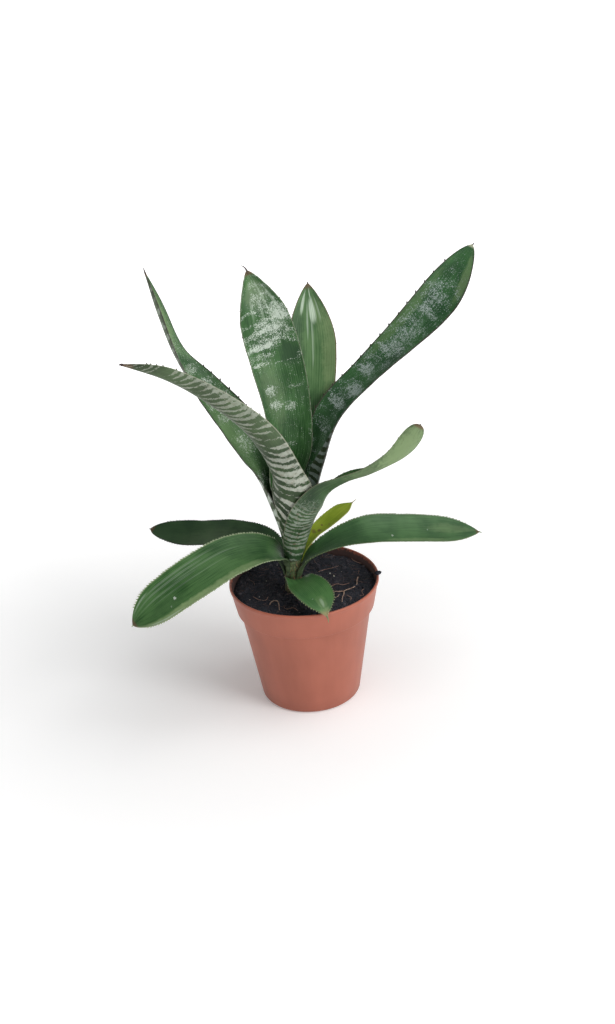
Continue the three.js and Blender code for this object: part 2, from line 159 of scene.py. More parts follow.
class Graph:
    """The node tree of one material, ending in one Principled shader."""

    def __init__(self, name: str) -> None:
        """Makes an empty material.

        Args:
            name: The material's name.
        """
        self.material = bpy.data.materials.new(name)
        self.material.use_nodes = True
        self.tree = self.material.node_tree
        self.tree.nodes.clear()

    def node(
        self,
        kind: str,
        settings: dict[str, object] | None = None,
        sockets: dict[int | str, object] | None = None,
        output: int | str = 0,
    ) -> Wire:
        """Adds a node.

        Args:
            kind: The node's type.
            settings: Its own settings, set before its sockets.
            sockets: Values or wires of its inputs, by name or number.
            output: The output to return.

        Returns:
            The chosen output as a wire.
        """
        made = self.tree.nodes.new(kind)
        for name, value in (settings or {}).items():
            setattr(made, name, value)
        for key, value in (sockets or {}).items():
            self._feed(made.inputs[key], value)
        return Wire(self, made.outputs[output])

    def _feed(self, target: bpy.types.NodeSocket, value: object) -> None:
        """Sets an input to a constant, or links it to a wire."""
        if isinstance(value, Wire):
            self.tree.links.new(value.socket, target)
        else:
            target.default_value = value

    def vector(self, x: Number, y: Number, z: Number) -> Wire:
        """Three values as one vector."""
        return self.node("ShaderNodeCombineXYZ", None, {0: x, 1: y, 2: z})

    def split(self, vector: Wire) -> tuple[Wire, Wire, Wire]:
        """The three parts of a vector."""
        first = self.node("ShaderNodeSeparateXYZ", None, {0: vector})
        outputs = first.socket.node.outputs
        return first, Wire(self, outputs[1]), Wire(self, outputs[2])

    def attribute(self, name: str, output: str = "Fac") -> Wire:
        """A mesh attribute, as a value or with output "Vector" as a vector."""
        return self.node("ShaderNodeAttribute", {"attribute_name": name}, None, output)

    def place(self) -> Wire:
        """The point's own place, in metres."""
        return self.node("ShaderNodeTexCoord", None, None, "Object")

    def noise(self, at: Wire, scale: float, detail: float = 2.0, rough: float = 0.5) -> Wire:
        """Soft noise round 0.5.

        Args:
            at: Where it is read.
            scale: Features to a unit of at.
            detail: Octaves.
            rough: How strong the finer octaves are.

        Returns:
            The noise as a wire.
        """
        sockets = {"Vector": at, "Scale": scale, "Detail": detail, "Roughness": rough}
        return self.node("ShaderNodeTexNoise", None, sockets)

    def mix(self, share: Number, first: Colour | Wire, second: Colour | Wire) -> Wire:
        """A colour mixed from two."""
        sockets = {0: share, 6: first, 7: second}
        return self.node("ShaderNodeMix", {"data_type": "RGBA"}, sockets, 2)

    def close(
        self,
        colour: Colour | Wire,
        roughness: Number,
        gloss: float = 0.5,
        relief: tuple[Wire, float] | None = None,
        glow: Wire | None = None,
    ) -> bpy.types.Material:
        """Ends the tree in a Principled shader.

        Args:
            colour: The base colour.
            roughness: The roughness.
            gloss: The specular level.
            relief: A height of 0 to 1, and the depth in millimetres that it stands for.
            glow: The colour of the surface's own light.

        Returns:
            The finished material.
        """
        sockets = {"Base Color": colour, "Roughness": roughness, "Specular IOR Level": gloss}
        if relief:
            bump = {"Height": relief[0], "Distance": relief[1] * MM, "Strength": 1.0}
            sockets["Normal"] = self.node("ShaderNodeBump", None, bump)
        if glow:
            sockets |= {"Emission Color": glow, "Emission Strength": 1.0}
        shader = self.node("ShaderNodeBsdfPrincipled", None, sockets)
        end = self.tree.nodes.new("ShaderNodeOutputMaterial")
        self.tree.links.new(shader.socket, end.inputs["Surface"])
        return self.material


# Modelling helpers


def deselect() -> None:
    """Leaves nothing selected, the frame's nodes included."""
    if bpy.context.mode != "OBJECT":
        bpy.ops.object.mode_set(mode="OBJECT")
    bpy.ops.object.select_all(action="DESELECT")


def choose(piece: bpy.types.Object) -> None:
    """Makes a piece the only one that operators act on."""
    deselect()
    piece.select_set(True)
    bpy.context.view_layer.objects.active = piece


def named(name: str) -> bpy.types.Object:
    """The active object under a new name, with its mesh."""
    piece = bpy.context.active_object
    piece.name = name
    piece.data.name = name
    return piece


def linked(name: str, data: bpy.types.ID) -> bpy.types.Object:
    """A new object in the scene that holds the data."""
    holder = bpy.data.objects.new(name, data)
    bpy.context.collection.objects.link(holder)
    return holder


def note(
    mesh: bpy.types.Mesh, name: str, values: Sequence[float] | np.ndarray, domain: str = "POINT"
) -> None:
    """Stores one number for each point or face of a mesh."""
    mesh.attributes.new(name, "FLOAT", domain).data.foreach_set("value", values)


def fix_place() -> None:
    """Moves the selected piece's place, turn and scale into its mesh."""
    bpy.ops.object.transform_apply(location=True, rotation=True, scale=True)


def apply_modifiers(piece: bpy.types.Object) -> None:
    """Applies every modifier of a piece, in order."""
    choose(piece)
    for modifier in list(piece.modifiers):
        bpy.ops.object.modifier_apply(modifier=modifier.name)


def join(pieces: Sequence[bpy.types.Object], name: str) -> bpy.types.Object:
    """Joins pieces into one object.

    Args:
        pieces: What is joined, the first one being kept.
        name: The name of the result.

    Returns:
        The joined object.
    """
    choose(pieces[0])
    for piece in pieces[1:]:
        piece.select_set(True)
    bpy.ops.object.join()
    return named(name)


def turned(
    name: str, profile: Sequence[tuple[float, float]], sides: int, closing: bool = True
) -> bpy.types.Object:
    """A closed body of revolution, extruded ring by ring from its foot.

    Args:
        name: The name of the piece.
        profile: Radius and height of each ring in millimetres.
        sides: Vertices round a ring.
        closing: Whether the last ring closes in a point.

    Returns:
        The piece, with its axis on Z.
    """
    deselect()
    radius, height = profile[0]
    bpy.ops.mesh.primitive_circle_add(
        vertices=sides, radius=radius * MM, fill_type="NGON", location=(0, 0, height * MM)
    )
    fix_place()
    piece = named(name)
    bpy.ops.object.mode_set(mode="EDIT")
    bpy.ops.mesh.select_mode(type="EDGE")
    bpy.ops.mesh.select_all(action="SELECT")
    for next_radius, next_height in profile[1:]:
        step = (0, 0, (next_height - height) * MM)
        bpy.ops.mesh.extrude_edges_move(TRANSFORM_OT_translate={"value": step})
        share = next_radius / radius
        bpy.ops.transform.resize(value=(share, share, 1), center_override=(0, 0, next_height * MM))
        radius, height = next_radius, next_height
    if closing:
        bpy.ops.mesh.merge(type="CENTER")
    else:
        bpy.ops.mesh.edge_face_add()
    bpy.ops.mesh.select_all(action="SELECT")
    bpy.ops.mesh.normals_make_consistent(inside=False)
    bpy.ops.object.mode_set(mode="OBJECT")
    return piece


def arc(
    centre: tuple[float, float], radius: float, start: float, end: float, steps: int
) -> list[tuple[float, float]]:
    """Points of an arc in a profile, its angles in degrees."""
    angles = [math.radians(blend(start, end, i / steps)) for i in range(steps + 1)]
    return [(centre[0] + radius * math.cos(a), centre[1] + radius * math.sin(a)) for a in angles]


def tube(
    name: str, points: Sequence[Vector], thickness: Callable[[float], float], sides: int = 5
) -> bpy.types.Object:
    """A round tube along a smooth line, closed at both ends.

    Args:
        name: The name of the piece.
        points: What the line runs through, in millimetres.
        thickness: The radius in millimetres at a share of the line.
        sides: Vertices round the tube.

    Returns:
        The tube as a mesh.
    """
    curve = bpy.data.curves.new(name, "CURVE")
    curve.dimensions = "3D"
    curve.bevel_depth = MM
    curve.bevel_resolution = max(0, sides // 2 - 2)
    curve.use_fill_caps = True
    curve.resolution_u = 4
    line = curve.splines.new("BEZIER")
    line.bezier_points.add(len(points) - 1)
    for index, (knot, point) in enumerate(zip(line.bezier_points, points)):
        knot.co = point * MM
        knot.handle_left_type = "AUTO"
        knot.handle_right_type = "AUTO"
        knot.radius = thickness(index / (len(points) - 1))
    choose(linked(name, curve))
    bpy.ops.object.convert(target="MESH")
    return named(name)


def copies(
    name: str, models: Sequence[bpy.types.Object], places: Iterable[tuple[int, Matrix, float]]
) -> bpy.types.Object:
    """Many copies of small models in one mesh. The models are removed.

    Args:
        name: The name of the piece.
        models: What is copied.
        places: For each copy the model's number, its place, and the tone that it carries.

    Returns:
        The piece, with the attributes "tone" and "along" on its points.
    """
    shapes = []
    for model in models:
        mesh = model.data
        corners = np.array([vertex.co for vertex in mesh.vertices], float)
        heights = corners[:, 2]
        along = (heights - heights.min()) / max(1e-9, heights.max() - heights.min())
        shapes.append((corners, [list(face.vertices) for face in mesh.polygons], along))
    vertices: list[np.ndarray] = []
    faces: list[list[int]] = []
    tones: list[np.ndarray] = []
    alongs: list[np.ndarray] = []
    start = 0
    for number, matrix, tone in places:
        corners, loops, along = shapes[number]
        turn = np.array(matrix.to_3x3(), float)
        vertices.append(corners @ turn.T + np.array(matrix.translation, float))
        faces.extend([[start + corner for corner in loop] for loop in loops])
        tones.append(np.full(len(corners), tone))
        alongs.append(along)
        start += len(corners)
    mesh = bpy.data.meshes.new(name)
    mesh.from_pydata(np.concatenate(vertices).tolist(), [], faces)
    for label, values in (("tone", tones), ("along", alongs)):
        note(mesh, label, np.concatenate(values).astype(np.float32))
    piece = linked(name, mesh)
    for model in models:
        bpy.data.objects.remove(model)
    choose(piece)
    bpy.ops.object.shade_smooth()
    return piece


def dress(piece: bpy.types.Object, material: bpy.types.Material) -> None:
    """Gives a whole piece one material."""
    piece.data.materials.clear()
    piece.data.materials.append(material)
    for face in piece.data.polygons:
        face.material_index = 0


def settle(piece: bpy.types.Object, slot: str, *nodes: str) -> None:
    """Hands a finished piece to the frame.

    Args:
        piece: The piece.
        slot: The material slot of the record that it belongs to. Not used.
        nodes: The frame's nodes that it stands for.
    """
    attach(piece, "root")
    if nodes:
        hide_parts(*nodes)
    LOG.info("%s: %d faces", piece.name, len(piece.data.polygons))


# The rosette's frame


@dataclass(frozen=True)
class Rosette:
    """The leaning axis that the stem and all sheaths stand round."""

    base: Vector = field(default_factory=lambda: Vector((-9.3, -6, 95.5)))
    lean: float = 4
    innermost: float = -2
    pitch: float = 1.5
    slope: float = 0.25
    flare: float = 0.0008
    flare_from: float = 30

    def point(self, radius: float, azimuth: float, height: float) -> Vector:
        """A point by its radius, azimuth in degrees and height, in millimetres."""
        around = math.radians(azimuth)
        upright = Vector((radius * math.cos(around), radius * math.sin(around), height))
        return Matrix.Rotation(math.radians(self.lean), 3, "Y") @ upright + self.base

    def axis(self) -> Vector:
        """The direction in which the rosette grows."""
        return (self.point(0, 0, 1) - self.base).normalized()

    def sheath_radius(self, layer: float, height: float) -> float:
        """The radius of a layer of sheaths at a height: a trumpet that opens upwards."""
        above = height - self.flare_from
        return self.innermost + self.pitch * layer + self.slope * above + self.flare * above * above


ROSETTE = Rosette()


# Leaves


@dataclass(frozen=True)
class Station:
    """One section that a leaf passes through, in millimetres and radians."""

    place: Vector
    half: float
    curl: float
    sheathed: float
    facing: Vector


@dataclass(frozen=True)
class Section:
    """The frame of a leaf's cross-section."""

    place: Vector
    upper: Vector
    across: Vector
    along: Vector
    half: float
    curl: float
    middle: float

    def point(self, share: float) -> tuple[Vector, Vector, Vector]:
        """A point of the middle surface with its normal and outward directions.

        Args:
            share: From -1 at the left margin to 1 at the right one.

        Returns:
            The point, the upper face's normal and the direction out of the margin.
        """
        angle = share * self.curl
        bend = self.half / self.curl
        point = (
            self.place
            + self.across * (bend * math.sin(angle))
            + self.upper * (bend * (1 - math.cos(angle)))
        )
        normal = self.upper * math.cos(angle) - self.across * math.sin(angle)
        outward = self.across * math.cos(angle) + self.upper * math.sin(angle)
        return point, normal, outward * math.copysign(1, share)


@dataclass(frozen=True)
class LeafShape:
    """A leaf's measures: a sheath in its own layer, then blade stations.

    A blade station holds x, y, z of the midrib, the half width, the curl in degrees, and the
    direction in which the upper face looks.
    """

    name: str
    layer: float
    sheath: tuple[float, float]
    azimuth: tuple[float, float]
    half: tuple[float, float]
    blunt: float
    blade: tuple[tuple[float, ...], ...]

    LONG_SHEATH = 20

    def sheath_count(self) -> int:
        """The number of stations in the sheath, more in a long one."""
        return 4 if self.sheath[1] - self.sheath[0] > self.LONG_SHEATH else 2

    def stations(self) -> list[Station]:
        """All stations from the stem to the tip."""
        made = []
        count = self.sheath_count()
        for index in range(count):
            share = index / (count - 1)
            height = blend(*self.sheath, share)
            radius = ROSETTE.sheath_radius(self.layer, height)
            half = blend(*self.half, share)
            place = ROSETTE.point(radius, blend(*self.azimuth, share), height)
            facing = (ROSETTE.point(0, 0, height) - place).normalized()
            made.append(Station(place, half, half / radius, 1.0, facing))
        for x, y, z, half, curl, *facing in self.blade:
            upper = Vector(facing).normalized()
            made.append(Station(Vector((x, y, z)), half, math.radians(curl), 0.0, upper))
        return made


class Course:
    """The smooth course through a leaf's stations. Step is how far apart its direction is read."""

    BLADE_THICKNESS = 1.4
    SHEATH_THICKNESS = 0.7
    MARGIN_THICKNESS = 0.7
    STEP = 1e-4

    def __init__(self, shape: LeafShape) -> None:
        """Prepares the course.

        Args:
            shape: The leaf's measures.
        """
        stations = shape.stations()
        self.shape = shape
        self.spans = len(stations) - 1
        self.places = self._with_ends([station.place for station in stations])
        self.facings = self._with_ends([station.facing for station in stations])
        forms = [Vector((station.half, station.curl, station.sheathed)) for station in stations]
        self.forms = self._with_ends(forms)

    @staticmethod
    def _with_ends(points: list[Vector]) -> list[Vector]:
        """The points with one more beyond each end, so that every span has four."""
        return [2 * points[0] - points[1], *points, 2 * points[-1] - points[-2]]

    def _span(self, share: float) -> tuple[int, float]:
        """The span that holds a share of the course, and how far along it that is."""
        index = min(self.spans - 1, int(share * self.spans))
        return index, share * self.spans - index

    @staticmethod
    def _hermite(start: Vector, end: Vector, leaving: Vector, arriving: Vector, w: float) -> Vector:
        """A cubic between two points with its end tangents."""
        square = w * w
        cube = square * w
        return (
            start * (2 * cube - 3 * square + 1)
            + end * (3 * square - 2 * cube)
            + leaving * (cube - 2 * square + w)
            + arriving * (cube - square)
        )

    def _even(self, points: list[Vector], share: float) -> Vector:
        """A smooth value through evenly counted stations."""
        index, w = self._span(share)
        before, start, end, after = points[index : index + 4]
        return self._hermite(start, end, (end - before) / 2, (after - start) / 2, w)

    def place(self, share: float) -> Vector:
        """The midrib, whose tangents follow the real distances between stations."""
        index, w = self._span(share)
        before, start, end, after = self.places[index : index + 4]
        first = (start - before).length
        middle = (end - start).length
        last = (after - end).length
        leaving = (start - before) / first - (end - before) / (first + middle) + (end - start) / middle
        arriving = (end - start) / middle - (after - start) / (middle + last) + (after - end) / last
        return self._hermite(start, end, leaving * middle, arriving * middle, w)

    def section(self, share: float) -> Section:
        """The section at a share of the course, square to the midrib or, in the sheath, to the axis."""
        low = max(0.0, share - self.STEP)
        high = min(1.0, share + self.STEP)
        along = (self.place(high) - self.place(low)).normalized()
        half, curl, sheathed = self._even(self.forms, share)
        sheathed = min(1.0, max(0.0, sheathed))
        square_to = along.lerp(ROSETTE.axis(), sheathed).normalized()
        facing = self._even(self.facings, share)
        upper = (facing - square_to * facing.dot(square_to)).normalized()
        across = square_to.cross(upper).normalized()
        tip = max(0.0, share * self.spans - (self.spans - 1))
        narrowed = half * max(0.0, 1 - tip * tip) ** self.shape.blunt
        middle = blend(self.BLADE_THICKNESS, self.SHEATH_THICKNESS, sheathed)
        return Section(self.place(share), upper, across, along, narrowed, curl, middle)


class Mark(Enum):
    """What a patch does to a leaf's skin: the silvery light is a painted highlight, and the deeper
    and lighter greens are also painted shadow and painted light on some leaves.
    """

    SCURF = "more grey scales"
    BARE = "fewer scales"
    # A deeper green; on some leaves also painted shadow.
    DARK = "a deeper green"
    # A lighter green; on some leaves also painted light.
    PALE_AND_LIT = "a lighter green"
    # A painted highlight.
    PAINTED_HIGHLIGHT = "a pale silvery light"
    BROWN = "dry or bruised"


class Side(Enum):
    """The faces of a blade that a patch is on."""

    UPPER = 0
    UNDER = 1


@dataclass(frozen=True)
class Patch:
    """A soft-edged spot on a leaf, by station along it and share across it."""

    mark: Mark
    station: float
    share: float
    long: float
    wide: float
    strength: float = 1.0
    side: Side = Side.UPPER


@dataclass(frozen=True)
class Bands:
    """Cross bands of pale scales.

    The pitch is in millimetres and the cover is the share of it that a band fills. Bow and rake, in
    millimetres, carry both ends or one end of a band towards the tip, and taper thickens it to one
    side. Finer packs the bands closer along the leaf, and thin and fade make them narrower and
    weaker there. Sweep adds to the rake in the outer half.
    """

    pitch: float
    cover: float
    bow: float = 3.0
    rake: float = 0.0
    taper: float = 0.0
    wander: float = 0.5
    uneven: float = 0.8
    fray: float = 0.5
    begin: float = 0.0
    end: float = 99.0
    strength: float = 1.0
    finer: float = 0.0
    thin: float = 0.0
    fade: float = 0.0
    sweep: float = 0.0


@dataclass(frozen=True)
class LeafFinish:
    """The colours and markings of a leaf's two faces.

    Rolled gives the share and the first and last station of a strip along the right margin whose
    upper face shows the skin of the underside, as where the real margin is rolled over.
    """

    deep: Colour
    light: Colour
    under: Colour
    under_light: Colour
    scale_colour: Colour = paint(196, 206, 194)
    scale_strength: float = 0.86
    edge: Colour = paint(70, 50, 44)
    edge_width: float = 0.7
    edge_strength: float = 0.6
    tip: Colour = paint(96, 74, 52)
    tip_from: float = 0.12
    upper_bands: Bands | None = None
    under_bands: Bands | None = None
    scurf: float = 0.12
    rust: float = 0.0
    streaks: float = 0.5
    veins: int = 22
    ribbing: float = 0.12
    vein_depth: float = 0.10
    roughness: float = 0.42
    gloss: float = 0.3
    rolled: tuple[float, float, float] | None = None
    patches: tuple[Patch, ...] = ()


@dataclass(frozen=True)
class Spines:
    """The teeth along the margins, and how large they are on each one."""

    pitch: float
    length: float
    width: float
    begin: float
    end: float = 0.35
    lean: float = 0.6
    colour: Colour = paint(52, 36, 30)
    left: float = 1.0
    right: float = 1.0


@dataclass(frozen=True)
class Mucro:
    """The hard point at a leaf's tip: its length, and how far it hooks to a side and up."""

    length: float
    radius: float = 0.7
    hook: tuple[float, float] = (0.0, 0.0)


@dataclass(frozen=True)
class SkinPlace:
    """Where a point of a leaf's skin lies: what every marking is placed by."""

    share: Wire
    across: Wire
    length: Wire
    station: Wire
    under: Wire
    flat: Wire
    cloud: Wire
    ragged: Wire
    streak: Wire


@dataclass
class Leaf:
    """One leaf: a thin blade with a sheath, its marginal spines, its hard tip and its skin.

    The three spans are the stations over which bands sweep, thin and fade. A mark's grain is the
    noise that makes its edge ragged, and how deep that goes. Noises are given by their scale, detail
    and roughness. Ripple is in millimetres.
    """

    STRAIGHT_ROWS = 0.8
    WELD = 1e-6
    SMOOTH_ANGLE = math.radians(50)
    MARGIN_STEPS = 900
    FRILL = 1.6
    SWEEP_SPAN = (3.6, 6.2)
    THIN_SPAN = (2.8, 5.6)
    FADE_SPAN = (3.0, 5.8)
    SPINE_LINE = ((0, 0, -0.35), (0, 0, 0.3), (0.16, 0, 0.72), (0.42, 0, 1))
    SPINE_FLATNESS = 0.55
    # The darker tint also paints shadow, and the lighter one also paints light.
    TINTS = (
        (Mark.DARK, paint(30, 58, 34), 0.75),
        (Mark.PALE_AND_LIT, paint(138, 160, 112), 0.6),
        (Mark.BROWN, paint(92, 66, 46), 0.85),
    )
    GRAINS = {Mark.SCURF: ("ragged", 5.0), Mark.BARE: ("ragged", 2.5), Mark.PAINTED_HIGHLIGHT: ("streak", 2.6)}
    PLAIN_GRAIN = ("cloud", 2.4)
    PATCH_EDGE = (1.5, 0.1)
    RUST = paint(128, 96, 76)
    # The colour of the painted highlights.
    HIGHLIGHT_SILVER = paint(190, 206, 186)
    CLOUD = (0.22, 3.0, 0.65)
    RAGGED = (0.42, 3.0, 0.7)
    BROAD = (0.05, 2.0)
    STREAK = (1.0, 3.0, 0.6)
    RUSTY = (0.35, 3.0, 0.7)
    GRAIN = (1.9, 2.0)
    SPECKS = (1.05, 3.0, 0.75)
    MOTTLE = (0.9, 3.0, 0.7)
    WANDER = (0.07, 2.0)
    FRAY = (0.8, 4.0, 0.7)
    DRY_TIP = 0.85
    SCURF_GAIN = 0.62
    BARE_LOSS = 0.6

    shape: LeafShape
    finish: LeafFinish
    spines: Spines
    mucro: Mucro
    slot: str
    seed: int
    columns: int = 36
    rows: int = 190
    ripple: float = 0.22

    def build(self) -> bpy.types.Object:
        """Makes the leaf and hands it to the frame.

        Returns:
            The finished leaf.
        """
        course = Course(self.shape)
        parts = [self._blade(course), self._teeth(course), self._point(course)]
        leaf = join(parts, f"fine_{self.shape.name}")
        bpy.ops.object.shade_smooth_by_angle(angle=self.SMOOTH_ANGLE)
        dress(leaf, self._skin(course))
        settle(leaf, self.slot, self.shape.name)
        return leaf

    def _share(self, row: float, spans: int) -> float:
        """The share of the course at a share of the rows, closer together at the tip."""
        straight = self.STRAIGHT_ROWS
        if row < straight:
            return row / straight * (spans - 1) / spans
        angle = math.pi / 2 * (row - straight) / (1 - straight)
        return (spans - 1 + math.sin(angle)) / spans

    def _blade(self, course: Course) -> bpy.types.Object:
        """The blade: a grid laid along the course, then thickened."""
        deselect()
        bpy.ops.mesh.primitive_grid_add(
            x_subdivisions=self.columns, y_subdivisions=self.rows, size=1, calc_uvs=True
        )
        blade = named(self.shape.name + "_blade")
        mesh = blade.data
        sections: dict[float, tuple[Section, float, float]] = {}
        lay = []
        weights = []
        travelled = 0.0
        previous = course.place(0)
        for row in sorted({round(vertex.co.y + 0.5, 5) for vertex in mesh.vertices}):
            share = self._share(row, course.spans)
            section = course.section(share)
            travelled += (section.place - previous).length
            previous = section.place
            sections[row] = (section, travelled, share * course.spans)
        blade_from = self.shape.sheath_count() - 0.5
        for vertex in mesh.vertices:
            section, length, station = sections[round(vertex.co.y + 0.5, 5)]
            across = min(1.0, max(-1.0, 2 * vertex.co.x))
            point, normal, _ = section.point(across)
            ripple = self._ripple(across, length) * smooth(blade_from, blade_from + 1.5, station)
            vertex.co = (point + normal * ripple) * MM
            lay.append((across, length, station))
            weights.append(blend(section.middle, course.MARGIN_THICKNESS, across * across))
        layer = mesh.attributes.new("lay", "FLOAT_VECTOR", "POINT")
        layer.data.foreach_set("vector", [part for row in lay for part in row])
        group = blade.vertex_groups.new(name="thickness")
        for index, weight in enumerate(weights):
            group.add([index], weight / course.BLADE_THICKNESS, "REPLACE")
        choose(blade)
        bpy.ops.object.mode_set(mode="EDIT")
        bpy.ops.mesh.select_all(action="SELECT")
        bpy.ops.mesh.remove_doubles(threshold=self.WELD)
        bpy.ops.object.mode_set(mode="OBJECT")
        return self._thickened(blade, course.BLADE_THICKNESS)

    def _ripple(self, across: float, length: float) -> float:
        """How far the blade waves out of its smooth form, more along the margins."""
        wave = noise.noise(Vector((across * 1.3, length * 0.035, self.seed * 7.1)))
        frill = noise.noise(Vector((across * 0.6, length * 0.11, self.seed * 3.7))) * across**4
        return self.ripple * (wave + self.FRILL * frill)

    def _thickened(self, blade: bpy.types.Object, thickness: float) -> bpy.types.Object:
        """Gives the sheet its two faces, and marks which one is the underside."""
        for side in Side:
            blade.data.materials.append(bpy.data.materials.new(f"side_{side.name}"))
        solid = blade.modifiers.new("thickness", "SOLIDIFY")
        solid.thickness = thickness * MM
        solid.offset = 0
        solid.vertex_group = "thickness"
        solid.material_offset = 1
        solid.material_offset_rim = 1
        apply_modifiers(blade)
        mesh = blade.data
        note(mesh, "under", [float(face.material_index) for face in mesh.polygons], "FACE")
        blade.vertex_groups.clear()
        return blade

    def _teeth(self, course: Course) -> bpy.types.Object:
        """The spines of both margins, each a small hooked cone that leans to the tip."""
        line = [Vector(knot) for knot in self.SPINE_LINE]
        model = tube("spine_model", line, lambda share: 0.5 * (1 - share) ** 0.8 + 0.02, sides=4)
        spines = self.spines
        grown = {-1: spines.left, 1: spines.right}
        draw = random.Random(self.seed)
        places = []
        gone = {-1: spines.pitch * draw.random(), 1: spines.pitch * draw.random()}
        previous = {-1: None, 1: None}
        for index in range(self.MARGIN_STEPS):
            share = index / self.MARGIN_STEPS
            if not spines.begin <= share * course.spans <= course.spans - spines.end:
                continue
            section = course.section(share)
            for side in (-1, 1):
                point, normal, outward = section.point(side)
                if previous[side] is not None:
                    gone[side] += (point - previous[side]).length
                previous[side] = point
                if gone[side] < spines.pitch:
                    continue
                gone[side] -= spines.pitch * draw.uniform(0.85, 1.15)
                size = draw.uniform(0.75, 1.1) * grown[side]
                places.append(self._tooth_place(section, point, normal, outward, size))
        return copies(self.shape.name + "_teeth", [model], places)

    def _tooth_place(
        self, section: Section, point: Vector, normal: Vector, outward: Vector, size: float
    ) -> tuple[int, Matrix, float]:
        """Where one spine stands: its root in the margin and its hook towards the tip."""
        up = (outward + section.along * self.spines.lean).normalized()
        side = normal.cross(up).normalized()
        if side.dot(section.along) < 0:
            side = -side
        length = self.spines.length * size
        width = self.spines.width * size
        flat = side.cross(up) * width * self.SPINE_FLATNESS
        turn = Matrix((side * width, flat, up * length)).transposed()
        return 0, Matrix.Translation(point * MM) @ turn.to_4x4(), 1.0

    def _point(self, course: Course) -> bpy.types.Object:
        """The hard point at the tip."""
        end = course.section(1.0)
        side, lift = self.mucro.hook
        points = []
        for share in (-0.45, 0.0, 0.4, 0.75, 1.0):
            hooked = (end.across * side + end.upper * lift) * max(0.0, share) ** 2
            points.append(end.place + end.along * (self.mucro.length * share) + hooked)
        radius = self.mucro.radius
        name = self.shape.name + "_point"
        point = tube(name, points, lambda share: radius * (1 - share) ** 0.7 + 0.06, sides=8)
        for label, value in (("tone", 1.0), ("along", 0.75)):
            note(point.data, label, [value] * len(point.data.vertices))
        return point

    def _patches(self, mark: Mark, at: SkinPlace) -> Number:
        """All patches of one kind as one mask, or 0 if the leaf has none."""
        grain, depth = self.GRAINS.get(mark, self.PLAIN_GRAIN)
        wander = getattr(at, grain).swing(depth)
        total: Number = 0.0
        for patch in self.finish.patches:
            if patch.mark is not mark:
                continue
            across = (at.share - patch.share) * (1 / patch.wide)
            along = (at.station - patch.station) * (1 / patch.long)
            distance = across * across + along * along + wander
            face = at.under if patch.side is Side.UNDER else 1 - at.under
            total = (distance.rise(*self.PATCH_EDGE) * (face * patch.strength)).most(total)
        return total

    def _band_mask(self, graph: Graph, bands: Bands, at: SkinPlace, extra: Number) -> Wire:
        """Cross bands of pale scales, uneven in width and frayed at their edges."""
        wander = graph.noise(at.flat, *self.WANDER).swing(bands.wander * 2 * bands.pitch)
        climb = at.share * at.share * bands.bow + at.share * bands.rake
        if bands.sweep:
            outer = at.station.rise(*self.SWEEP_SPAN)
            climb = climb + at.share * outer * (bands.rake * bands.sweep)
        travelled = at.length * (at.length * bands.finer + 1) - climb + wander
        wave = (travelled * (2 * math.pi / bands.pitch)).sine() * 0.5 + 0.5
        fine = graph.noise(graph.vector(at.across * 0.5, at.length * 1.5, 9.0), *self.FRAY)
        uneven_at = graph.vector(at.across * 0.35, at.length, self.seed + 2.0)
        uneven = graph.noise(uneven_at, 1.8 / bands.pitch, 2.0)
        level = wave + fine.swing(bands.fray) + uneven.swing(2 * bands.uneven)
        level = level + at.share * bands.taper + extra
        level = level - at.station.rise(*self.THIN_SPAN) * bands.thin
        mask = level.rise(0.9 - bands.cover, 1.08 - bands.cover)
        zone = at.station.rise(bands.begin - 0.25, bands.begin + 0.25)
        zone = zone * at.station.rise(bands.end + 0.3, bands.end - 0.3)
        faded = 1 - at.station.rise(*self.FADE_SPAN) * bands.fade
        return mask * zone * faded * bands.strength

    def _underside(self, graph: Graph, share: Wire, station: Wire) -> Wire:
        """A mask of the underside, and of a strip along the right margin that shows the underside's
        skin.
        """
        under = graph.attribute("under")
        if self.finish.rolled:
            inner, first, last = self.finish.rolled
            zone = station.rise(first - 0.3, first + 0.3) * station.rise(last + 0.5, last - 0.5)
            line = (1 - station.rise(last + 0.4, last - 1.2)) * (0.9 - inner) + inner
            under = under.most((share - line).rise(-0.03, 0.03) * zone.rise(0.05, 0.3))
        return under

    def _skin(self, course: Course) -> bpy.types.Material:
        """The leaf's material."""
        finish = self.finish
        graph = Graph(f"skin_{self.shape.name}")
        widest = max(station.half for station in self.shape.stations())
        share, length, station = graph.split(graph.attribute("lay", "Vector"))
        under = self._underside(graph, share, station)
        across = share * widest
        flat = graph.vector(across, length, under * 40.0 + self.seed * 13.0)
        cloud = graph.noise(flat, *self.CLOUD)
        ragged = graph.noise(flat, *self.RAGGED)
        broad = graph.noise(flat, *self.BROAD)
        lengthwise = graph.vector(across * 1.1, length * 0.045, self.seed * 5.0)
        streak = graph.noise(lengthwise, *self.STREAK)
        at = SkinPlace(share, across, length, station, under, flat, cloud, ragged, streak)
        rib = (share * (finish.veins * math.pi) + streak.swing(1.6)).sine() * 0.5 + 0.5

        tone = streak.swing(finish.streaks * 1.8) + broad.swing(1.3) + 0.44 + rib * finish.ribbing
        tone = tone.rise(0.0, 1.0)
        colour = graph.mix(tone, finish.deep, finish.light)
        lower = graph.mix(tone, finish.under, finish.under_light)
        colour = self._tinted(graph, graph.mix(under, colour, lower), at)
        scales = self._scales(graph, at)
        rusted = graph.noise(flat, *self.RUSTY).rise(0.48, 0.68) * finish.rust
        scale_colour = graph.mix(rusted, finish.scale_colour, self.RUST)
        colour = graph.mix(scales * finish.scale_strength, colour, scale_colour)
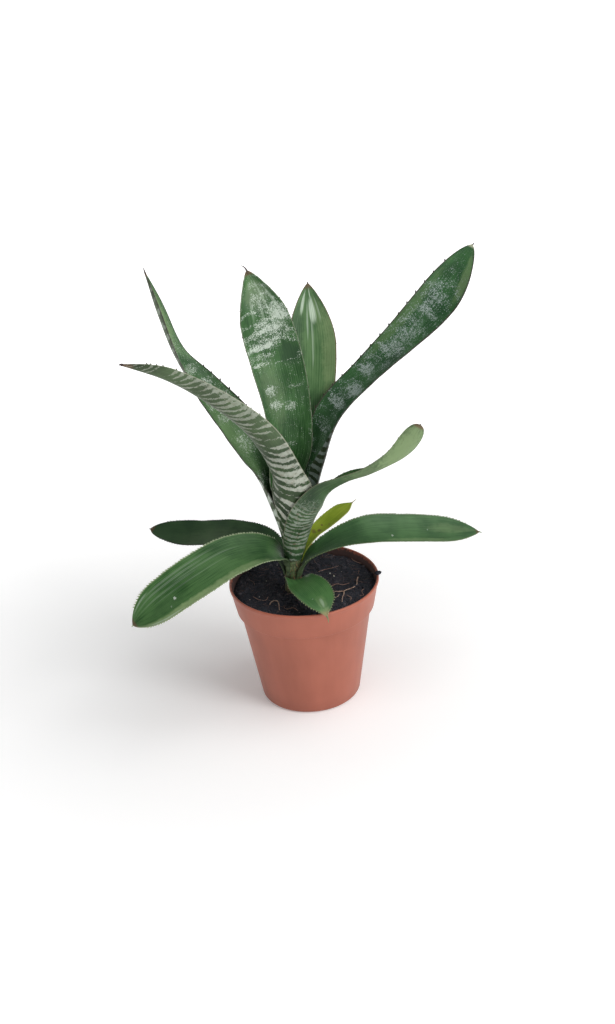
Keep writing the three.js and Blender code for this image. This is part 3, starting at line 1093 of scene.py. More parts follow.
        # Painted highlights: pale silver patches, brighter on the ribs.
        painted_highlight = self._patches(Mark.PAINTED_HIGHLIGHT, at)
        if isinstance(painted_highlight, Wire):
            colour = graph.mix(painted_highlight * (0.45 + rib * 0.3), colour, self.HIGHLIGHT_SILVER)

        width = finish.edge_width
        rim = (share.size() * widest).rise(widest - width * 1.7, widest - width * 0.5)
        colour = graph.mix(rim * station.rise(0.8, 2.4) * finish.edge_strength, colour, finish.edge)
        dry = station.rise(course.spans - finish.tip_from, course.spans - finish.tip_from * 0.3)
        colour = graph.mix(dry * self.DRY_TIP, colour, finish.tip)
        spined = graph.attribute("tone") * graph.attribute("along").rise(0.05, 0.55)
        colour = graph.mix(spined, colour, self.spines.colour)

        grain = graph.noise(flat, *self.GRAIN)
        relief = rib * 0.55 + grain * 0.25 + scales * 0.35
        roughness = grain.swing(0.12) + scales * 0.3 + finish.roughness
        return graph.close(colour, roughness, finish.gloss, (relief, finish.vein_depth))

    def _tinted(self, graph: Graph, colour: Wire, at: SkinPlace) -> Wire:
        """The green with its darker, lighter and bruised patches, partly painted shadow and light."""
        for mark, tint, strength in self.TINTS:
            mask = self._patches(mark, at)
            if isinstance(mask, Wire):
                colour = graph.mix(mask * strength, colour, tint)
        return colour

    def _scales(self, graph: Graph, at: SkinPlace) -> Wire:
        """How densely the pale scales cover the skin: fine specks above, closed bands below."""
        finish = self.finish
        scurf = self._patches(Mark.SCURF, at)
        bare = self._patches(Mark.BARE, at)
        density = at.cloud.swing(0.6) + at.streak.swing(finish.streaks) + finish.scurf
        if finish.upper_bands:
            density = density + self._band_mask(graph, finish.upper_bands, at, 0.0) * (1 - at.under)
        if isinstance(scurf, Wire):
            density = density + scurf * self.SCURF_GAIN
        if isinstance(bare, Wire):
            density = density - bare * self.BARE_LOSS
        speck_at = graph.vector(at.across, at.length * 1.25, self.seed * 3.0)
        specks = graph.noise(speck_at, *self.SPECKS)
        dusting = (specks.rise(0.3, 0.7) + density).rise(0.98, 1.2)
        scales = dusting.most(density.rise(0.1, 1.1) * 0.3)
        if finish.under_bands:
            extra = (scurf - bare) * 0.55 if isinstance(scurf, Wire) else 0.0
            banded = self._band_mask(graph, finish.under_bands, at, extra) * at.under
            mottle = graph.noise(at.flat, *self.MOTTLE).rise(0.3, 0.46)
            worn = mottle * 0.38 + at.cloud.rise(0.34, 0.62) * 0.26 + 0.4
            scales = (scales * (1 - at.under * 0.6)).most(banded * worn)
        return scales


def spots(mark: Mark, *rows: tuple[float, ...], side: Side = Side.UPPER) -> tuple[Patch, ...]:
    """Patches of one kind from rows of station, share, length, width and strength."""
    return tuple(Patch(mark, *row, side=side) for row in rows)


DEEP = paint(24, 64, 22)
LIGHT = paint(70, 110, 58)
UNDER = paint(42, 58, 38)
UNDER_LIGHT = paint(78, 94, 64)
HOOKED_SPINES = Spines(pitch=9.5, length=0.85, width=1.1, begin=3.6)
FINE_SPINES = Spines(
    pitch=2.4, length=1.35, width=1.5, begin=1.3, end=0.3, lean=0.9, colour=paint(112, 126, 88)
)


def leaf_centre() -> Leaf:
    """The tall leaf in the middle, grey with scales below its hooked tip."""
    shape = LeafShape(
        "leaf_centre", 1, (55, 90), (118, 118), (12, 17.5), 0.65,
        (
            (-4.5, 14, 214, 19, 48, 0.3, -1, 0.1),
            (-4.6, 22, 243, 19.6, 30, 0.3, -1, 0.15),
            (-10, 31, 276, 21.5, 28, 0.3, -1, 0.1),
            (-17, 35, 308, 20.6, 34, 0.3, -1, 0),
            (-26, 36, 346, 13, 50, 0.35, -1, -0.1),
        ),
    )
    finish = LeafFinish(
        DEEP, paint(62, 102, 54), UNDER, UNDER_LIGHT, edge=paint(128, 138, 112), edge_width=0.5,
        edge_strength=0.5,
        upper_bands=Bands(
            9, 0.4, bow=-3, wander=0.8, fray=2.4, uneven=1.6, begin=5.9, end=7.9, strength=0.25,
        ),
        under_bands=Bands(7.5, 0.45, fray=0.35), scurf=0.06, veins=26, streaks=0.9,
        patches=(
            *spots(
                Mark.SCURF, (7.05, 0.6, 0.18, 0.42, 1.0), (6.75, 0.12, 0.22, 0.5, 0.74),
                (6.5, 0.25, 0.12, 0.8, 0.66), (6.4, -0.3, 0.09, 0.7, 0.85),
                (6.95, 0.0, 0.75, 1.1, 0.34), (7.35, -0.1, 0.08, 0.7, 0.5), (7.1, -0.7, 0.06, 0.4, 0.4),
                (6.0, -0.65, 0.06, 0.4, 0.85), (6.2, -0.55, 0.08, 0.5, 0.5),
                (5.95, 0.55, 0.03, 0.5, 0.7), (6.0, 0.8, 0.08, 0.24, 0.7),
                (5.37, -0.48, 0.13, 0.25, 0.75), (5.02, -0.42, 0.13, 0.28, 0.8),
                (4.95, 0.2, 0.12, 0.24, 0.7), (5.37, 0.5, 0.05, 0.3, 0.45),
                (4.0, 0.12, 0.08, 0.25, 0.5), (3.6, -0.2, 0.1, 0.4, 0.5),
            ),
            *spots(Mark.DARK, (6.1, 0.58, 0.3, 0.42, 0.9), (5.2, 0.75, 0.3, 0.3, 0.5)),
            *spots(
                Mark.BARE, (6.12, 0.5, 0.22, 0.45, 1.0), (7.08, -0.6, 0.13, 0.35, 0.9),
                (6.85, -0.75, 0.08, 0.3, 0.8), (7.5, -0.6, 0.25, 0.3, 0.6),
            ),
            *spots(Mark.PALE_AND_LIT, (5.3, -0.4, 0.9, 0.45, 0.25), (7.6, 0, 0.3, 0.8, 0.3)),
            # Painted highlights near the hooked tip, in streaks.
            *spots(
                Mark.PAINTED_HIGHLIGHT, (7.5, 0.3, 0.3, 0.07, 0.6), (7.25, -0.35, 0.25, 0.06, 0.4),
                (7.2, 0.05, 0.3, 0.06, 0.4), (7.5, 0.0, 0.3, 0.9, 0.16), (7.1, 0.35, 0.2, 0.05, 0.45),
                (7.35, 0.7, 0.3, 0.08, 0.6), (6.95, 0.55, 0.3, 0.3, 0.3),
            ),
        ),
    )
    return Leaf(shape, finish, HOOKED_SPINES, Mucro(6.0, 0.8, (-3.5, 1.5)), "leaf_banded", 1)


def leaf_right_tall() -> Leaf:
    """The tall leaf that leans right, clumped with scales, with underside skin on its lower right
    margin.
    """
    shape = LeafShape(
        "leaf_right_tall", 2, (50, 84), (32, 32), (13, 18), 0.65,
        (
            (18, 8, 200, 17.5, 48, -0.85, -0.5, 0.3),
            (32, 18, 233, 17, 48, -0.75, -0.5, 0.45),
            (60.5, 28, 260, 16.5, 38, -0.62, -0.45, 0.62),
            (92, 37, 286.5, 17.8, 28, -0.54, -0.57, 0.6),
            (117.5, 44, 311, 17.6, 24, -0.4, -0.75, 0.45),
            (145, 53, 349, 14.5, 24, -0.4, -0.85, 0.3),
        ),
    )
    finish = LeafFinish(
        paint(22, 60, 30), paint(56, 98, 54), UNDER, UNDER_LIGHT, scale_colour=paint(162, 174, 170),
        scale_strength=0.8,
        upper_bands=Bands(
            12.5, 0.42, bow=-5, rake=2, wander=0.9, fray=1.0, uneven=1.0, begin=3.4, end=8.4,
            strength=0.16,
        ),
        under_bands=Bands(6.5, 0.52, fray=0.7, uneven=0.9), rolled=(-0.35, 2.2, 4.9), scurf=0.08,
        edge=paint(58, 42, 42), edge_width=0.8, edge_strength=0.8, tip=paint(182, 184, 160),
        tip_from=0.06,
        patches=(
            *spots(
                Mark.SCURF, (6.9, 0.0, 1.8, 0.8, 0.26), (8.15, -0.45, 0.15, 0.35, 0.45),
                (7.9, -0.2, 0.16, 0.4, 0.6), (7.65, -0.1, 0.12, 0.5, 0.62),
                (7.3, -0.45, 0.25, 0.4, 0.4), (7.1, 0.05, 0.16, 0.5, 0.66),
                (6.75, -0.05, 0.14, 0.6, 0.68), (6.55, -0.2, 0.12, 0.6, 0.62),
                (6.06, -0.25, 0.14, 0.5, 0.74), (5.63, 0.15, 0.14, 0.6, 0.98),
                (5.25, -0.19, 0.11, 0.6, 0.86), (4.7, -0.1, 0.1, 0.5, 0.6), (3.7, 0.12, 0.15, 0.6, 0.5),
            ),
            *spots(
                Mark.DARK, (6.35, 0.6, 0.5, 0.35, 0.5), (8.5, -0.35, 0.2, 0.3, 0.6),
                (5.0, -0.1, 0.9, 0.8, 0.38),
            ),
            *spots(Mark.PALE_AND_LIT, (7.3, -0.75, 1.2, 0.25, 0.3), (8.5, 0.7, 0.4, 0.3, 0.5)),
        ),
    )
    spines = Spines(pitch=10.5, length=1.35, width=1.5, begin=4.2, right=0.5)
    return Leaf(shape, finish, spines, Mucro(2.0, 0.7, (0.5, 0.8)), "leaf_banded", 2)


def leaf_left_tall() -> Leaf:
    """The tall leaf that leans left and narrows to a thread."""
    shape = LeafShape(
        "leaf_left_tall", 4, (40, 56), (172, 170), (12, 15), 0.8,
        (
            (-22, -2, 176, 18, 52, 0.95, -0.25, 0.15),
            (-30, 10, 204, 19, 48, 0.7, -0.7, 0.3),
            (-45, 20, 229, 18.5, 42, 0.65, -0.7, 0.4),
            (-68, 30, 258, 16, 44, 0.8, -0.55, 0.35),
            (-85, 35, 284, 11, 54, 1, -0.25, 0.25),
            (-95, 39, 316, 8.5, 64, 1, -0.15, 0.15),
            (-102, 40, 349, 5, 70, 1, -0.1, 0.1),
        ),
    )
    finish = LeafFinish(
        paint(34, 72, 36), paint(80, 114, 70), UNDER, UNDER_LIGHT,
        under_bands=Bands(
            10.0, 0.52, bow=4, rake=3, fray=1.0, uneven=0.9, thin=0.2, fade=0.6, sweep=1.0,
        ),
        scurf=0.1, edge=paint(50, 40, 38), edge_width=0.9, edge_strength=0.75,
        patches=(
            *spots(
                Mark.SCURF, (5.05, 0.1, 0.13, 0.7, 0.75), (4.6, 0.12, 0.16, 0.7, 0.6),
                (5.5, 0.12, 0.15, 0.7, 0.6), (4.25, -0.05, 0.14, 0.7, 0.4), (3.5, 0, 0.3, 0.6, 0.4),
                (2.5, -0.3, 0.2, 0.6, 0.5), (6.2, 0.2, 0.3, 0.6, 0.3),
            ),
            *spots(
                Mark.PALE_AND_LIT, (7.0, 0, 0.9, 0.9, 0.6), (5.9, -0.6, 0.8, 0.4, 0.4),
                (3.6, -0.5, 1.2, 0.6, 0.3),
            ),
            *spots(Mark.DARK, (4.0, 0.75, 0.9, 0.3, 0.5), (2.2, 0.1, 0.9, 1.2, 0.6)),
        ),
    )
    spines = Spines(pitch=9.0, length=1.4, width=1.5, begin=2.6, end=2.4, left=0.5)
    return Leaf(shape, finish, spines, Mucro(4.5, 0.7, (-2.6, 0.8)), "leaf_banded", 3)


def leaf_back_plain() -> Leaf:
    """The plain glossy leaf behind."""
    shape = LeafShape(
        "leaf_back_plain", 3, (45, 84), (74, 74), (12, 15), 0.85,
        (
            (12, 25, 209, 16, 40, -0.15, -1, 0.2),
            (16, 38, 243, 19, 32, -0.1, -1, 0.35),
            (19, 55, 275, 20, 30, -0.05, -1, 0.35),
            (19, 71, 323, 18, 34, 0, -1, 0.25),
        ),
    )
    finish = LeafFinish(
        paint(44, 82, 44), paint(94, 126, 82), UNDER, UNDER_LIGHT,
        under_bands=Bands(8.0, 0.3, fray=0.4), scurf=-0.2, roughness=0.34, edge=paint(120, 92, 74),
        edge_width=0.6, veins=20, ribbing=0.2,
        patches=(
            # Painted highlights near the tip.
            *spots(
                Mark.PAINTED_HIGHLIGHT, (6.6, 0.14, 0.2, 0.2, 1.5), (6.72, -0.5, 0.18, 0.12, 1.2),
                (6.2, 0.05, 0.6, 0.05, 0.5), (6.85, 0.1, 0.1, 0.06, 1.3), (6.45, -0.15, 0.3, 0.05, 0.7),
                (6.6, 0.5, 0.2, 0.06, 0.6),
            ),
            # The lighter patches are painted light on the right side; the first darker patch is the
            # centre leaf's painted shadow on the left.
            *spots(Mark.PALE_AND_LIT, (5.9, 0.78, 0.9, 0.36, 0.8), (6.5, 0.45, 0.4, 0.2, 0.4)),
            *spots(Mark.DARK, (5.9, -0.7, 0.9, 0.4, 0.6), (4.6, 0, 0.5, 1.2, 0.45)),
        ),
    )
    spines = Spines(pitch=11, length=0.7, width=0.9, begin=4.0)
    return Leaf(shape, finish, spines, Mucro(1.0, 0.6), "leaf_plain", 4)


def leaf_front_banded() -> Leaf:
    """The leaf that arches to the front left and shows its boldly banded underside."""
    shape = LeafShape(
        "leaf_front_banded", 5, (35, 78), (300, 278), (13, 17), 0.8,
        (
            (-12, -32, 206, 20, 62, 0.5, 0.65, 0.5),
            (-28, -42, 243, 20, 76, 0.55, 0.6, 0.5),
            (-55, -56, 277, 17, 84, 0.5, 0.5, 0.65),
            (-85, -67, 303, 13, 92, 0.4, 0.4, 0.8),
            (-113, -73, 318, 7, 110, 0.3, 0.4, 0.9),
        ),
    )
    finish = LeafFinish(
        DEEP, LIGHT, paint(32, 46, 28), paint(62, 82, 52),
        under_bands=Bands(
            15.0, 0.42, bow=9, rake=18, taper=-0.22, wander=0.5, uneven=1.2, fray=1.8, finer=0.0046,
            thin=0.32, fade=0.56, sweep=1.5,
        ),
        scurf=-0.05, edge=paint(150, 152, 132), edge_width=0.6, edge_strength=0.6, rust=0.35,
        scale_colour=paint(184, 188, 176), tip=paint(84, 66, 48), tip_from=0.14,
        patches=(
            *spots(
                Mark.SCURF, (3.85, -0.6, 0.13, 0.55, 1.0), (4.45, -0.75, 0.06, 0.4, 0.6),
                (6.1, -0.92, 0.8, 0.16, 0.9), side=Side.UNDER,
            ),
            *spots(Mark.PALE_AND_LIT, (6.2, -0.4, 1.5, 1.6, 0.12), side=Side.UNDER),
            *spots(Mark.SCURF, (6.9, 0.5, 0.4, 0.6, 0.5), (5.5, 0.7, 0.8, 0.4, 0.4)),
            *spots(Mark.BROWN, (7.9, 0, 0.16, 1.4, 0.9), side=Side.UNDER),
            *spots(Mark.BROWN, (7.9, 0, 0.16, 1.4, 0.9)),
        ),
    )
    spines = Spines(pitch=8.5, length=1.0, width=1.2, begin=3.6)
    return Leaf(shape, finish, spines, Mucro(1.6, 1.1, (0.5, -1.0)), "leaf_banded", 5)


def leaf_front_twisted() -> Leaf:
    """The short leaf at the front, banded below and twisted so that its end lies flat."""
    shape = LeafShape(
        "leaf_front_twisted", 6, (29.5, 58), (306, 310), (12.5, 18), 0.45,
        (
            (11, -24.6, 172, 19, 54, -0.6, 0.76, 0.35),
            (22, -27.5, 188.5, 15, 66, -0.5, 0.6, 0.65),
            (38, -32, 200, 11, 64, -0.38, 0.32, 0.85),
            (55, -37, 207, 10.5, 54, -0.35, 0.5, 0.8),
            (75, -41, 220.5, 9.2, 34, -0.2, 0.8, 0.4),
            (92.5, -44, 246, 11, 20, 0.05, 0.95, 0.05),
        ),
    )
    finish = LeafFinish(
        DEEP, LIGHT, paint(30, 52, 28), paint(68, 96, 60),
        under_bands=Bands(
            5.8, 0.44, bow=4, rake=1, wander=0.9, fray=2.0, uneven=1.3, end=4.2, strength=0.54,
            finer=0.0077,
        ),
        scurf=0.06, rust=0.8, edge=paint(120, 120, 96), edge_width=0.5, edge_strength=0.5,
        scale_colour=paint(176, 184, 172),
        patches=(
            *spots(Mark.BARE, (7.5, 0, 2.2, 1.5, 0.7), side=Side.UNDER),
            *spots(Mark.SCURF, (4.3, 0.1, 0.4, 0.9, 0.5), side=Side.UNDER),
            *spots(Mark.PALE_AND_LIT, (8.2, 0, 1.1, 1.4, 1.0), (6.9, 0, 0.9, 1.4, 0.5), side=Side.UNDER),
            *spots(Mark.BARE, (0.4, 0.2, 0.9, 1.4, 0.55), side=Side.UNDER),
            *spots(Mark.DARK, (4.5, 0.3, 0.5, 0.6, 0.35), (0.6, 0, 0.8, 1.4, 0.5), side=Side.UNDER),
        ),
    )
    spines = Spines(pitch=6.0, length=0.7, width=0.9, begin=3.4, end=0.5)
    return Leaf(shape, finish, spines, Mucro(1.2, 0.6), "leaf_banded", 6)


def leaf_low_left_back() -> Leaf:
    """The dark low leaf at the left, behind."""
    shape = LeafShape(
        "leaf_low_left_back", 8.5, (15, 19), (148, 148), (7, 8), 0.6,
        (
            (-30, 20, 127, 13, 26, 0.1, -0.25, 0.95),
            (-56, 40, 126, 15, 14, 0.05, -0.3, 0.95),
            (-90, 58, 119, 15, 12, 0, -0.3, 0.95),
            (-126, 73, 119, 14, 12, -0.05, -0.3, 0.95),
        ),
    )
    finish = LeafFinish(
        paint(34, 60, 36), paint(58, 86, 52), UNDER, UNDER_LIGHT, scurf=-0.2, edge=paint(38, 46, 34),
        edge_width=0.5, gloss=0.2, roughness=0.5,
        patches=(
            *spots(Mark.PALE_AND_LIT, (3.3, -0.4, 0.9, 0.8, 0.12)),
            *spots(Mark.DARK, (4.9, 0.2, 1.0, 1.4, 0.4)),
        ),
    )
    spines = Spines(
        pitch=2.6, length=1.3, width=1.4, begin=1.3, end=0.3, lean=0.9, colour=paint(30, 36, 26),
    )
    return Leaf(shape, finish, spines, Mucro(1.8, 0.6), "leaf_shaded", 7)


def leaf_young() -> Leaf:
    """The small yellow-green leaf."""
    shape = LeafShape(
        "leaf_young", 7.05, (24, 28.8), (48, 48), (4.5, 5), 0.9,
        (
            (9, 9, 134, 6.5, 44, -0.5, -0.5, 0.65),
            (21, 18, 141, 7.5, 28, -0.5, -0.6, 0.6),
            (33, 27, 146, 7, 24, -0.5, -0.6, 0.6),
            (43, 35, 149, 5, 24, -0.5, -0.6, 0.6),
        ),
    )
    finish = LeafFinish(
        paint(100, 122, 24), paint(138, 154, 50), paint(104, 124, 34), paint(136, 148, 56), scurf=-0.2,
        gloss=0.15, edge=paint(142, 146, 70), edge_width=0.4, tip=paint(112, 96, 66), veins=11,
        patches=(
            *spots(
                Mark.BROWN, (2.45, 0.2, 0.1, 0.3, 0.9), (2.75, -0.1, 0.06, 0.2, 0.9),
                (2.25, -0.3, 0.12, 0.4, 0.8), (3.0, 0.5, 0.04, 0.14, 0.8),
            ),
        ),
    )
    spines = Spines(pitch=4, length=0.7, width=0.8, begin=2.4, end=0.6, colour=paint(140, 132, 80))
    return Leaf(
        shape, finish, spines, Mucro(5.0, 0.4, (0.6, 1.2)), "leaf_young", 8, columns=20, rows=110,
    )


def leaf_low_left_front() -> Leaf:
    """The broad low leaf at the left, in front, with a pale lower margin."""
    shape = LeafShape(
        "leaf_low_left_front", 7.05, (24, 28.8), (197, 197), (6.5, 7.8), 0.65,
        (
            (-28, -20, 140, 14, 30, 0.1, -0.45, 0.9),
            (-52, -34, 144, 18, 20, -0.1, -0.55, 0.85),
            (-80, -50, 137, 19, 16, -0.25, -0.6, 0.75),
            (-107, -61, 124, 18, 18, -0.35, -0.6, 0.7),
            (-130, -69, 110, 16, 20, -0.4, -0.6, 0.7),
        ),
    )
    finish = LeafFinish(
        paint(22, 64, 22), paint(74, 112, 62), UNDER, UNDER_LIGHT, scurf=-0.2, streaks=0.9,
        edge=paint(150, 164, 126), edge_width=0.5, edge_strength=0.7, veins=32, ribbing=0.3,
        vein_depth=0.2,
        patches=(
            *spots(Mark.PALE_AND_LIT, (4.3, -0.88, 1.8, 0.18, 1.2), (2.9, -0.84, 0.8, 0.2, 0.8)),
            # Painted highlights, in thin streaks along the blade.
            *spots(
                Mark.PAINTED_HIGHLIGHT, (4.6, 0.55, 1.1, 0.06, 0.24), (4.8, 0.3, 1.0, 0.05, 0.2),
                (4.4, 0.72, 1.0, 0.06, 0.26), (4.2, 0.08, 1.1, 0.04, 0.16), (5.5, 0.8, 0.3, 0.06, 0.5),
                (5.2, -0.92, 0.5, 0.05, 0.8), (3.6, 0.4, 0.9, 0.05, 0.2),
            ),
            *spots(Mark.SCURF, (4.72, -0.25, 0.045, 0.1, 1.4), (4.9, -0.5, 0.025, 0.05, 1.4)),
            *spots(Mark.DARK, (5.0, -0.3, 0.5, 0.4, 0.3), (2.4, 0.2, 0.5, 1.2, 0.35)),
        ),
    )
    spines = Spines(
        pitch=2.3, length=1.5, width=1.5, begin=1.6, end=0.3, lean=0.8, colour=paint(158, 172, 136),
    )
    return Leaf(shape, finish, spines, Mucro(2.0, 0.7), "leaf_plain", 9)


def leaf_low_right() -> Leaf:
    """The long low leaf at the right."""
    shape = LeafShape(
        "leaf_low_right", 8.5, (15, 19.5), (353, 353), (7.5, 8.5), 0.75,
        (
            (25, -6, 135, 11.5, 34, -0.3, -0.25, 0.9),
            (52, -4, 142, 14, 22, 0, -0.4, 0.9),
            (82, 1, 139, 14, 16, 0.05, -0.4, 0.9),
            (112, 6, 133.5, 13, 14, 0.1, -0.4, 0.9),
            (142, 11, 127, 10, 14, 0.15, -0.4, 0.9),
        ),
    )
    finish = LeafFinish(
        paint(32, 68, 34), paint(72, 108, 64), UNDER, UNDER_LIGHT, scurf=-0.2, streaks=0.7,
        edge=paint(96, 112, 76), edge_width=0.4, veins=26, ribbing=0.2,
        patches=(
            *spots(Mark.SCURF, (3.62, 0.5, 0.03, 0.09, 1.5), (4.6, 0.05, 0.02, 0.06, 1.4)),
            *spots(Mark.DARK, (2.3, 0, 0.7, 1.4, 0.5), (5.2, 0.7, 0.8, 0.25, 0.3)),
            *spots(Mark.PALE_AND_LIT, (5.3, -0.1, 0.7, 0.4, 0.3), (4.3, 0.85, 0.9, 0.12, 0.4)),
        ),
    )
    return Leaf(shape, finish, FINE_SPINES, Mucro(3.0, 0.6, (0.6, -0.8)), "leaf_plain", 10)


def leaf_low_front() -> Leaf:
    """The small low leaf at the front, over the pot's rim."""
    shape = LeafShape(
        "leaf_low_front", 9.5, (8, 12), (280, 280), (8, 8.5), 0.6,
        (
            (-1, -27, 112, 12.6, 26, 0, -0.2, 1),
            (5, -40, 113, 15, 16, 0.1, -0.3, 1),
            (11, -53, 110, 12, 16, 0.15, -0.4, 1),
            (16, -65, 103, 2.6, 20, 0.2, -0.5, 0.9),
        ),
    )
    finish = LeafFinish(
        paint(40, 80, 38), paint(78, 118, 66), UNDER, UNDER_LIGHT, scurf=-0.2, roughness=0.36,
        edge=paint(92, 112, 74), edge_width=0.4, tip=paint(156, 142, 104), tip_from=0.45,
        patches=(
            # A painted highlight near the tip; the second lighter patch is a softer painted light round
            # it.
            *spots(Mark.PAINTED_HIGHLIGHT, (4.15, -0.1, 0.3, 0.12, 0.45)),
            *spots(Mark.PALE_AND_LIT, (4.75, 0, 0.3, 0.9, 0.8), (4.2, -0.1, 0.5, 0.4, 0.4)),
            *spots(Mark.SCURF, (3.75, 0.3, 0.03, 0.05, 1.3)),
        ),
    )
    return Leaf(
        shape, finish, FINE_SPINES, Mucro(4.5, 0.7, (0.8, -1.2)), "leaf_plain", 11, columns=30,
        rows=130,
    )


LEAVES = (
    leaf_centre,
    leaf_right_tall,
    leaf_left_tall,
    leaf_back_plain,
    leaf_front_banded,
    leaf_front_twisted,
    leaf_low_left_back,
    leaf_young,
    leaf_low_left_front,
    leaf_low_right,
    leaf_low_front,
)


# Pot, peat, stem and roots


@dataclass(frozen=True)
class Fleck:
    """A dull skin of two colours, mixed by a fine noise.

    The colours may have a cloud of their own, which is a noise's scale and detail, or be toned,
    which mixes them by the tone of each copy. Spread sharpens the mix. Relief is in millimetres.
    """

    name: str
    first: Colour
    second: Colour
    scale: float
    detail: float = 2.0
    roughness: float = 0.6
    spread: tuple[float, float] = (0.0, 1.0)
    cloud: tuple[float, float] | None = None
    toned: bool = False
    relief: float = 0.0

    def material(self) -> bpy.types.Material:
        """Makes the material."""
        graph = Graph(self.name)
        fleck = graph.noise(graph.place(), self.scale, self.detail)
        share = fleck
        if self.toned:
            share = graph.attribute("tone")
        elif self.cloud:
            share = graph.noise(graph.place(), *self.cloud)
        if self.spread != (0.0, 1.0):
            share = share.rise(*self.spread)
        colour = graph.mix(share, self.first, self.second)
        relief = (fleck, self.relief) if self.relief else None
        return graph.close(colour, fleck * 0.2 + self.roughness, relief=relief)


@dataclass(frozen=True)
class Plastic:
    """Semi-matte terracotta plastic with faint streaks, a darker foot and a soil line inside."""

    CLOUD = (22.0, 3.0)
    STREAK = (1.0, 3.0)
    GRAIN = (2600.0, 2.0)
    DUST = (420.0, 3.0, 0.7)

    shade: Colour = paint(150, 84, 65)
    clay: Colour = paint(170, 98, 78)
    lip: Colour = paint(168, 88, 62)
    darker_foot: Colour = paint(120, 72, 58)
    soil: Colour = paint(58, 54, 56)
    roughness: float = 0.44
    gloss: float = 0.42
    darkened_up_to: float = 14
    soiled_from: float = 91

    def material(self, pot: Pot) -> bpy.types.Material:
        """Makes the material for a pot's own measures."""
        graph = Graph("terracotta_plastic")
        place = graph.place()
        x, y, z = graph.split(place)
        radius = (x * x + y * y) ** 0.5
        cloud = graph.noise(place, *self.CLOUD)
        streak = graph.noise(graph.vector(x * 90.0, y * 90.0, z * 9.0), *self.STREAK)
        grain = graph.noise(place, *self.GRAIN)
        tone = (cloud.swing(1.1) + streak.swing(0.7) + 0.5).rise(0.0, 1.0)
        colour = graph.mix(tone, self.shade, self.clay)
        lip = z.rise((pot.height - 1.6) * MM, (pot.height - 0.4) * MM)
        colour = graph.mix(lip * 0.3, colour, self.lip)
        dust = graph.noise(place, *self.DUST)
        # Darker towards the foot, in uneven flecks.
        low = z.rise(self.darkened_up_to * MM, 0.0) * (0.25 + dust * 0.5)
        colour = graph.mix(low * 0.35, colour, self.darker_foot)
        middle_of_wall = z * pot.flare + pot.wall_middle * MM
        inside = (middle_of_wall - radius).rise(-0.3 * MM, 0.1 * MM)
        inside = inside * z.rise((self.soiled_from - 1) * MM, (self.soiled_from + 1) * MM)
        upward = z.rise(pot.height * MM, (pot.height - 5.5) * MM)
        soiled = inside * (dust + upward * 0.45).rise(0.5, 0.72)
        colour = graph.mix(soiled * 0.85, colour, self.soil)
        roughness = cloud.swing(0.12) + soiled * 0.3 + self.roughness
        return graph.close(colour, roughness, self.gloss, (grain * 0.5 + streak * 0.5, 0.05))


@dataclass(frozen=True)
class Soil:
    """Moist peat: near black, browner on its crumbs."""

    FLECK = (900.0, 3.0, 0.7)
    CLOUD = (90.0, 3.0)
    RUST = (330.0, 2.0)

    wet: Colour = paint(36, 39, 48)
    crumb: Colour = paint(78, 74, 80)
    rusty: Colour = paint(84, 58, 52)
    gloss: float = 0.35

    def material(self) -> bpy.types.Material:
        """Makes the material, which reads the tone of each crumb."""
        graph = Graph("moist_peat")
        place = graph.place()
        tone = graph.attribute("tone")
        fleck = graph.noise(place, *self.FLECK)
        cloud = graph.noise(place, *self.CLOUD)
        mask = (fleck * 0.8 + cloud * 0.5 + tone * 0.35).rise(0.62, 1.05)
        colour = graph.mix(mask, self.wet, self.crumb)
        rusty = (graph.noise(place, *self.RUST) + tone * 0.12).rise(0.66, 0.78)
        colour = graph.mix(rusty * 0.5, colour, self.rusty)
        return graph.close(colour, fleck * 0.25 + 0.68, self.gloss, (fleck, 0.5))


@dataclass(frozen=True)
class Bark:
    """Dull green with brown scars and a pale bloom."""

    FINE = (1.0, 3.0, 0.65)
    RING = (1.0, 2.0)
    CLOUD = (130.0, 2.0)

    green: Colour = paint(46, 68, 42)
    bloom: Colour = paint(104, 122, 76)
    scar: Colour = paint(74, 66, 46)
    foot: Colour = paint(84, 62, 46)
    foot_span: tuple[float, float] = (102, 96)

    def material(self) -> bpy.types.Material:
        """Makes the material."""
        graph = Graph("stem_skin")
        place = graph.place()
        x, y, z = graph.split(place)
        fine = graph.noise(graph.vector(x * 900.0, y * 900.0, z * 120.0), *self.FINE)
        ring = graph.noise(graph.vector(x * 60.0, y * 60.0, z * 420.0), *self.RING)
        cloud = graph.noise(place, *self.CLOUD)
        colour = graph.mix(fine.rise(0.3, 0.7), self.green, self.bloom)
        colour = graph.mix((ring + cloud * 0.4).rise(0.62, 0.82) * 0.6, colour, self.scar)
        high, low = self.foot_span
        colour = graph.mix(z.rise(high * MM, low * MM) * 0.5, colour, self.foot)
        return graph.close(colour, fine * 0.25 + 0.5, relief=(fine * 0.6 + ring * 0.4, 0.3))


PERLITE = Fleck("perlite", paint(196, 190, 176), paint(226, 222, 212), 900.0, roughness=0.7)
FIBRE = Fleck("fibre", paint(82, 60, 58), paint(150, 120, 108), 1500.0, spread=(0.7, 1.0), toned=True)
PALE_ROOT = Fleck(
    "pale_root", paint(190, 164, 144), paint(132, 100, 88), 700.0, 3.0, 0.55, (0.35, 0.7), relief=0.12
)
DRY_SHRED = Fleck(
    "dry_shred", paint(104, 66, 50), paint(150, 122, 88), 800.0, spread=(0.4, 0.62), cloud=(170.0, 1.0)
)


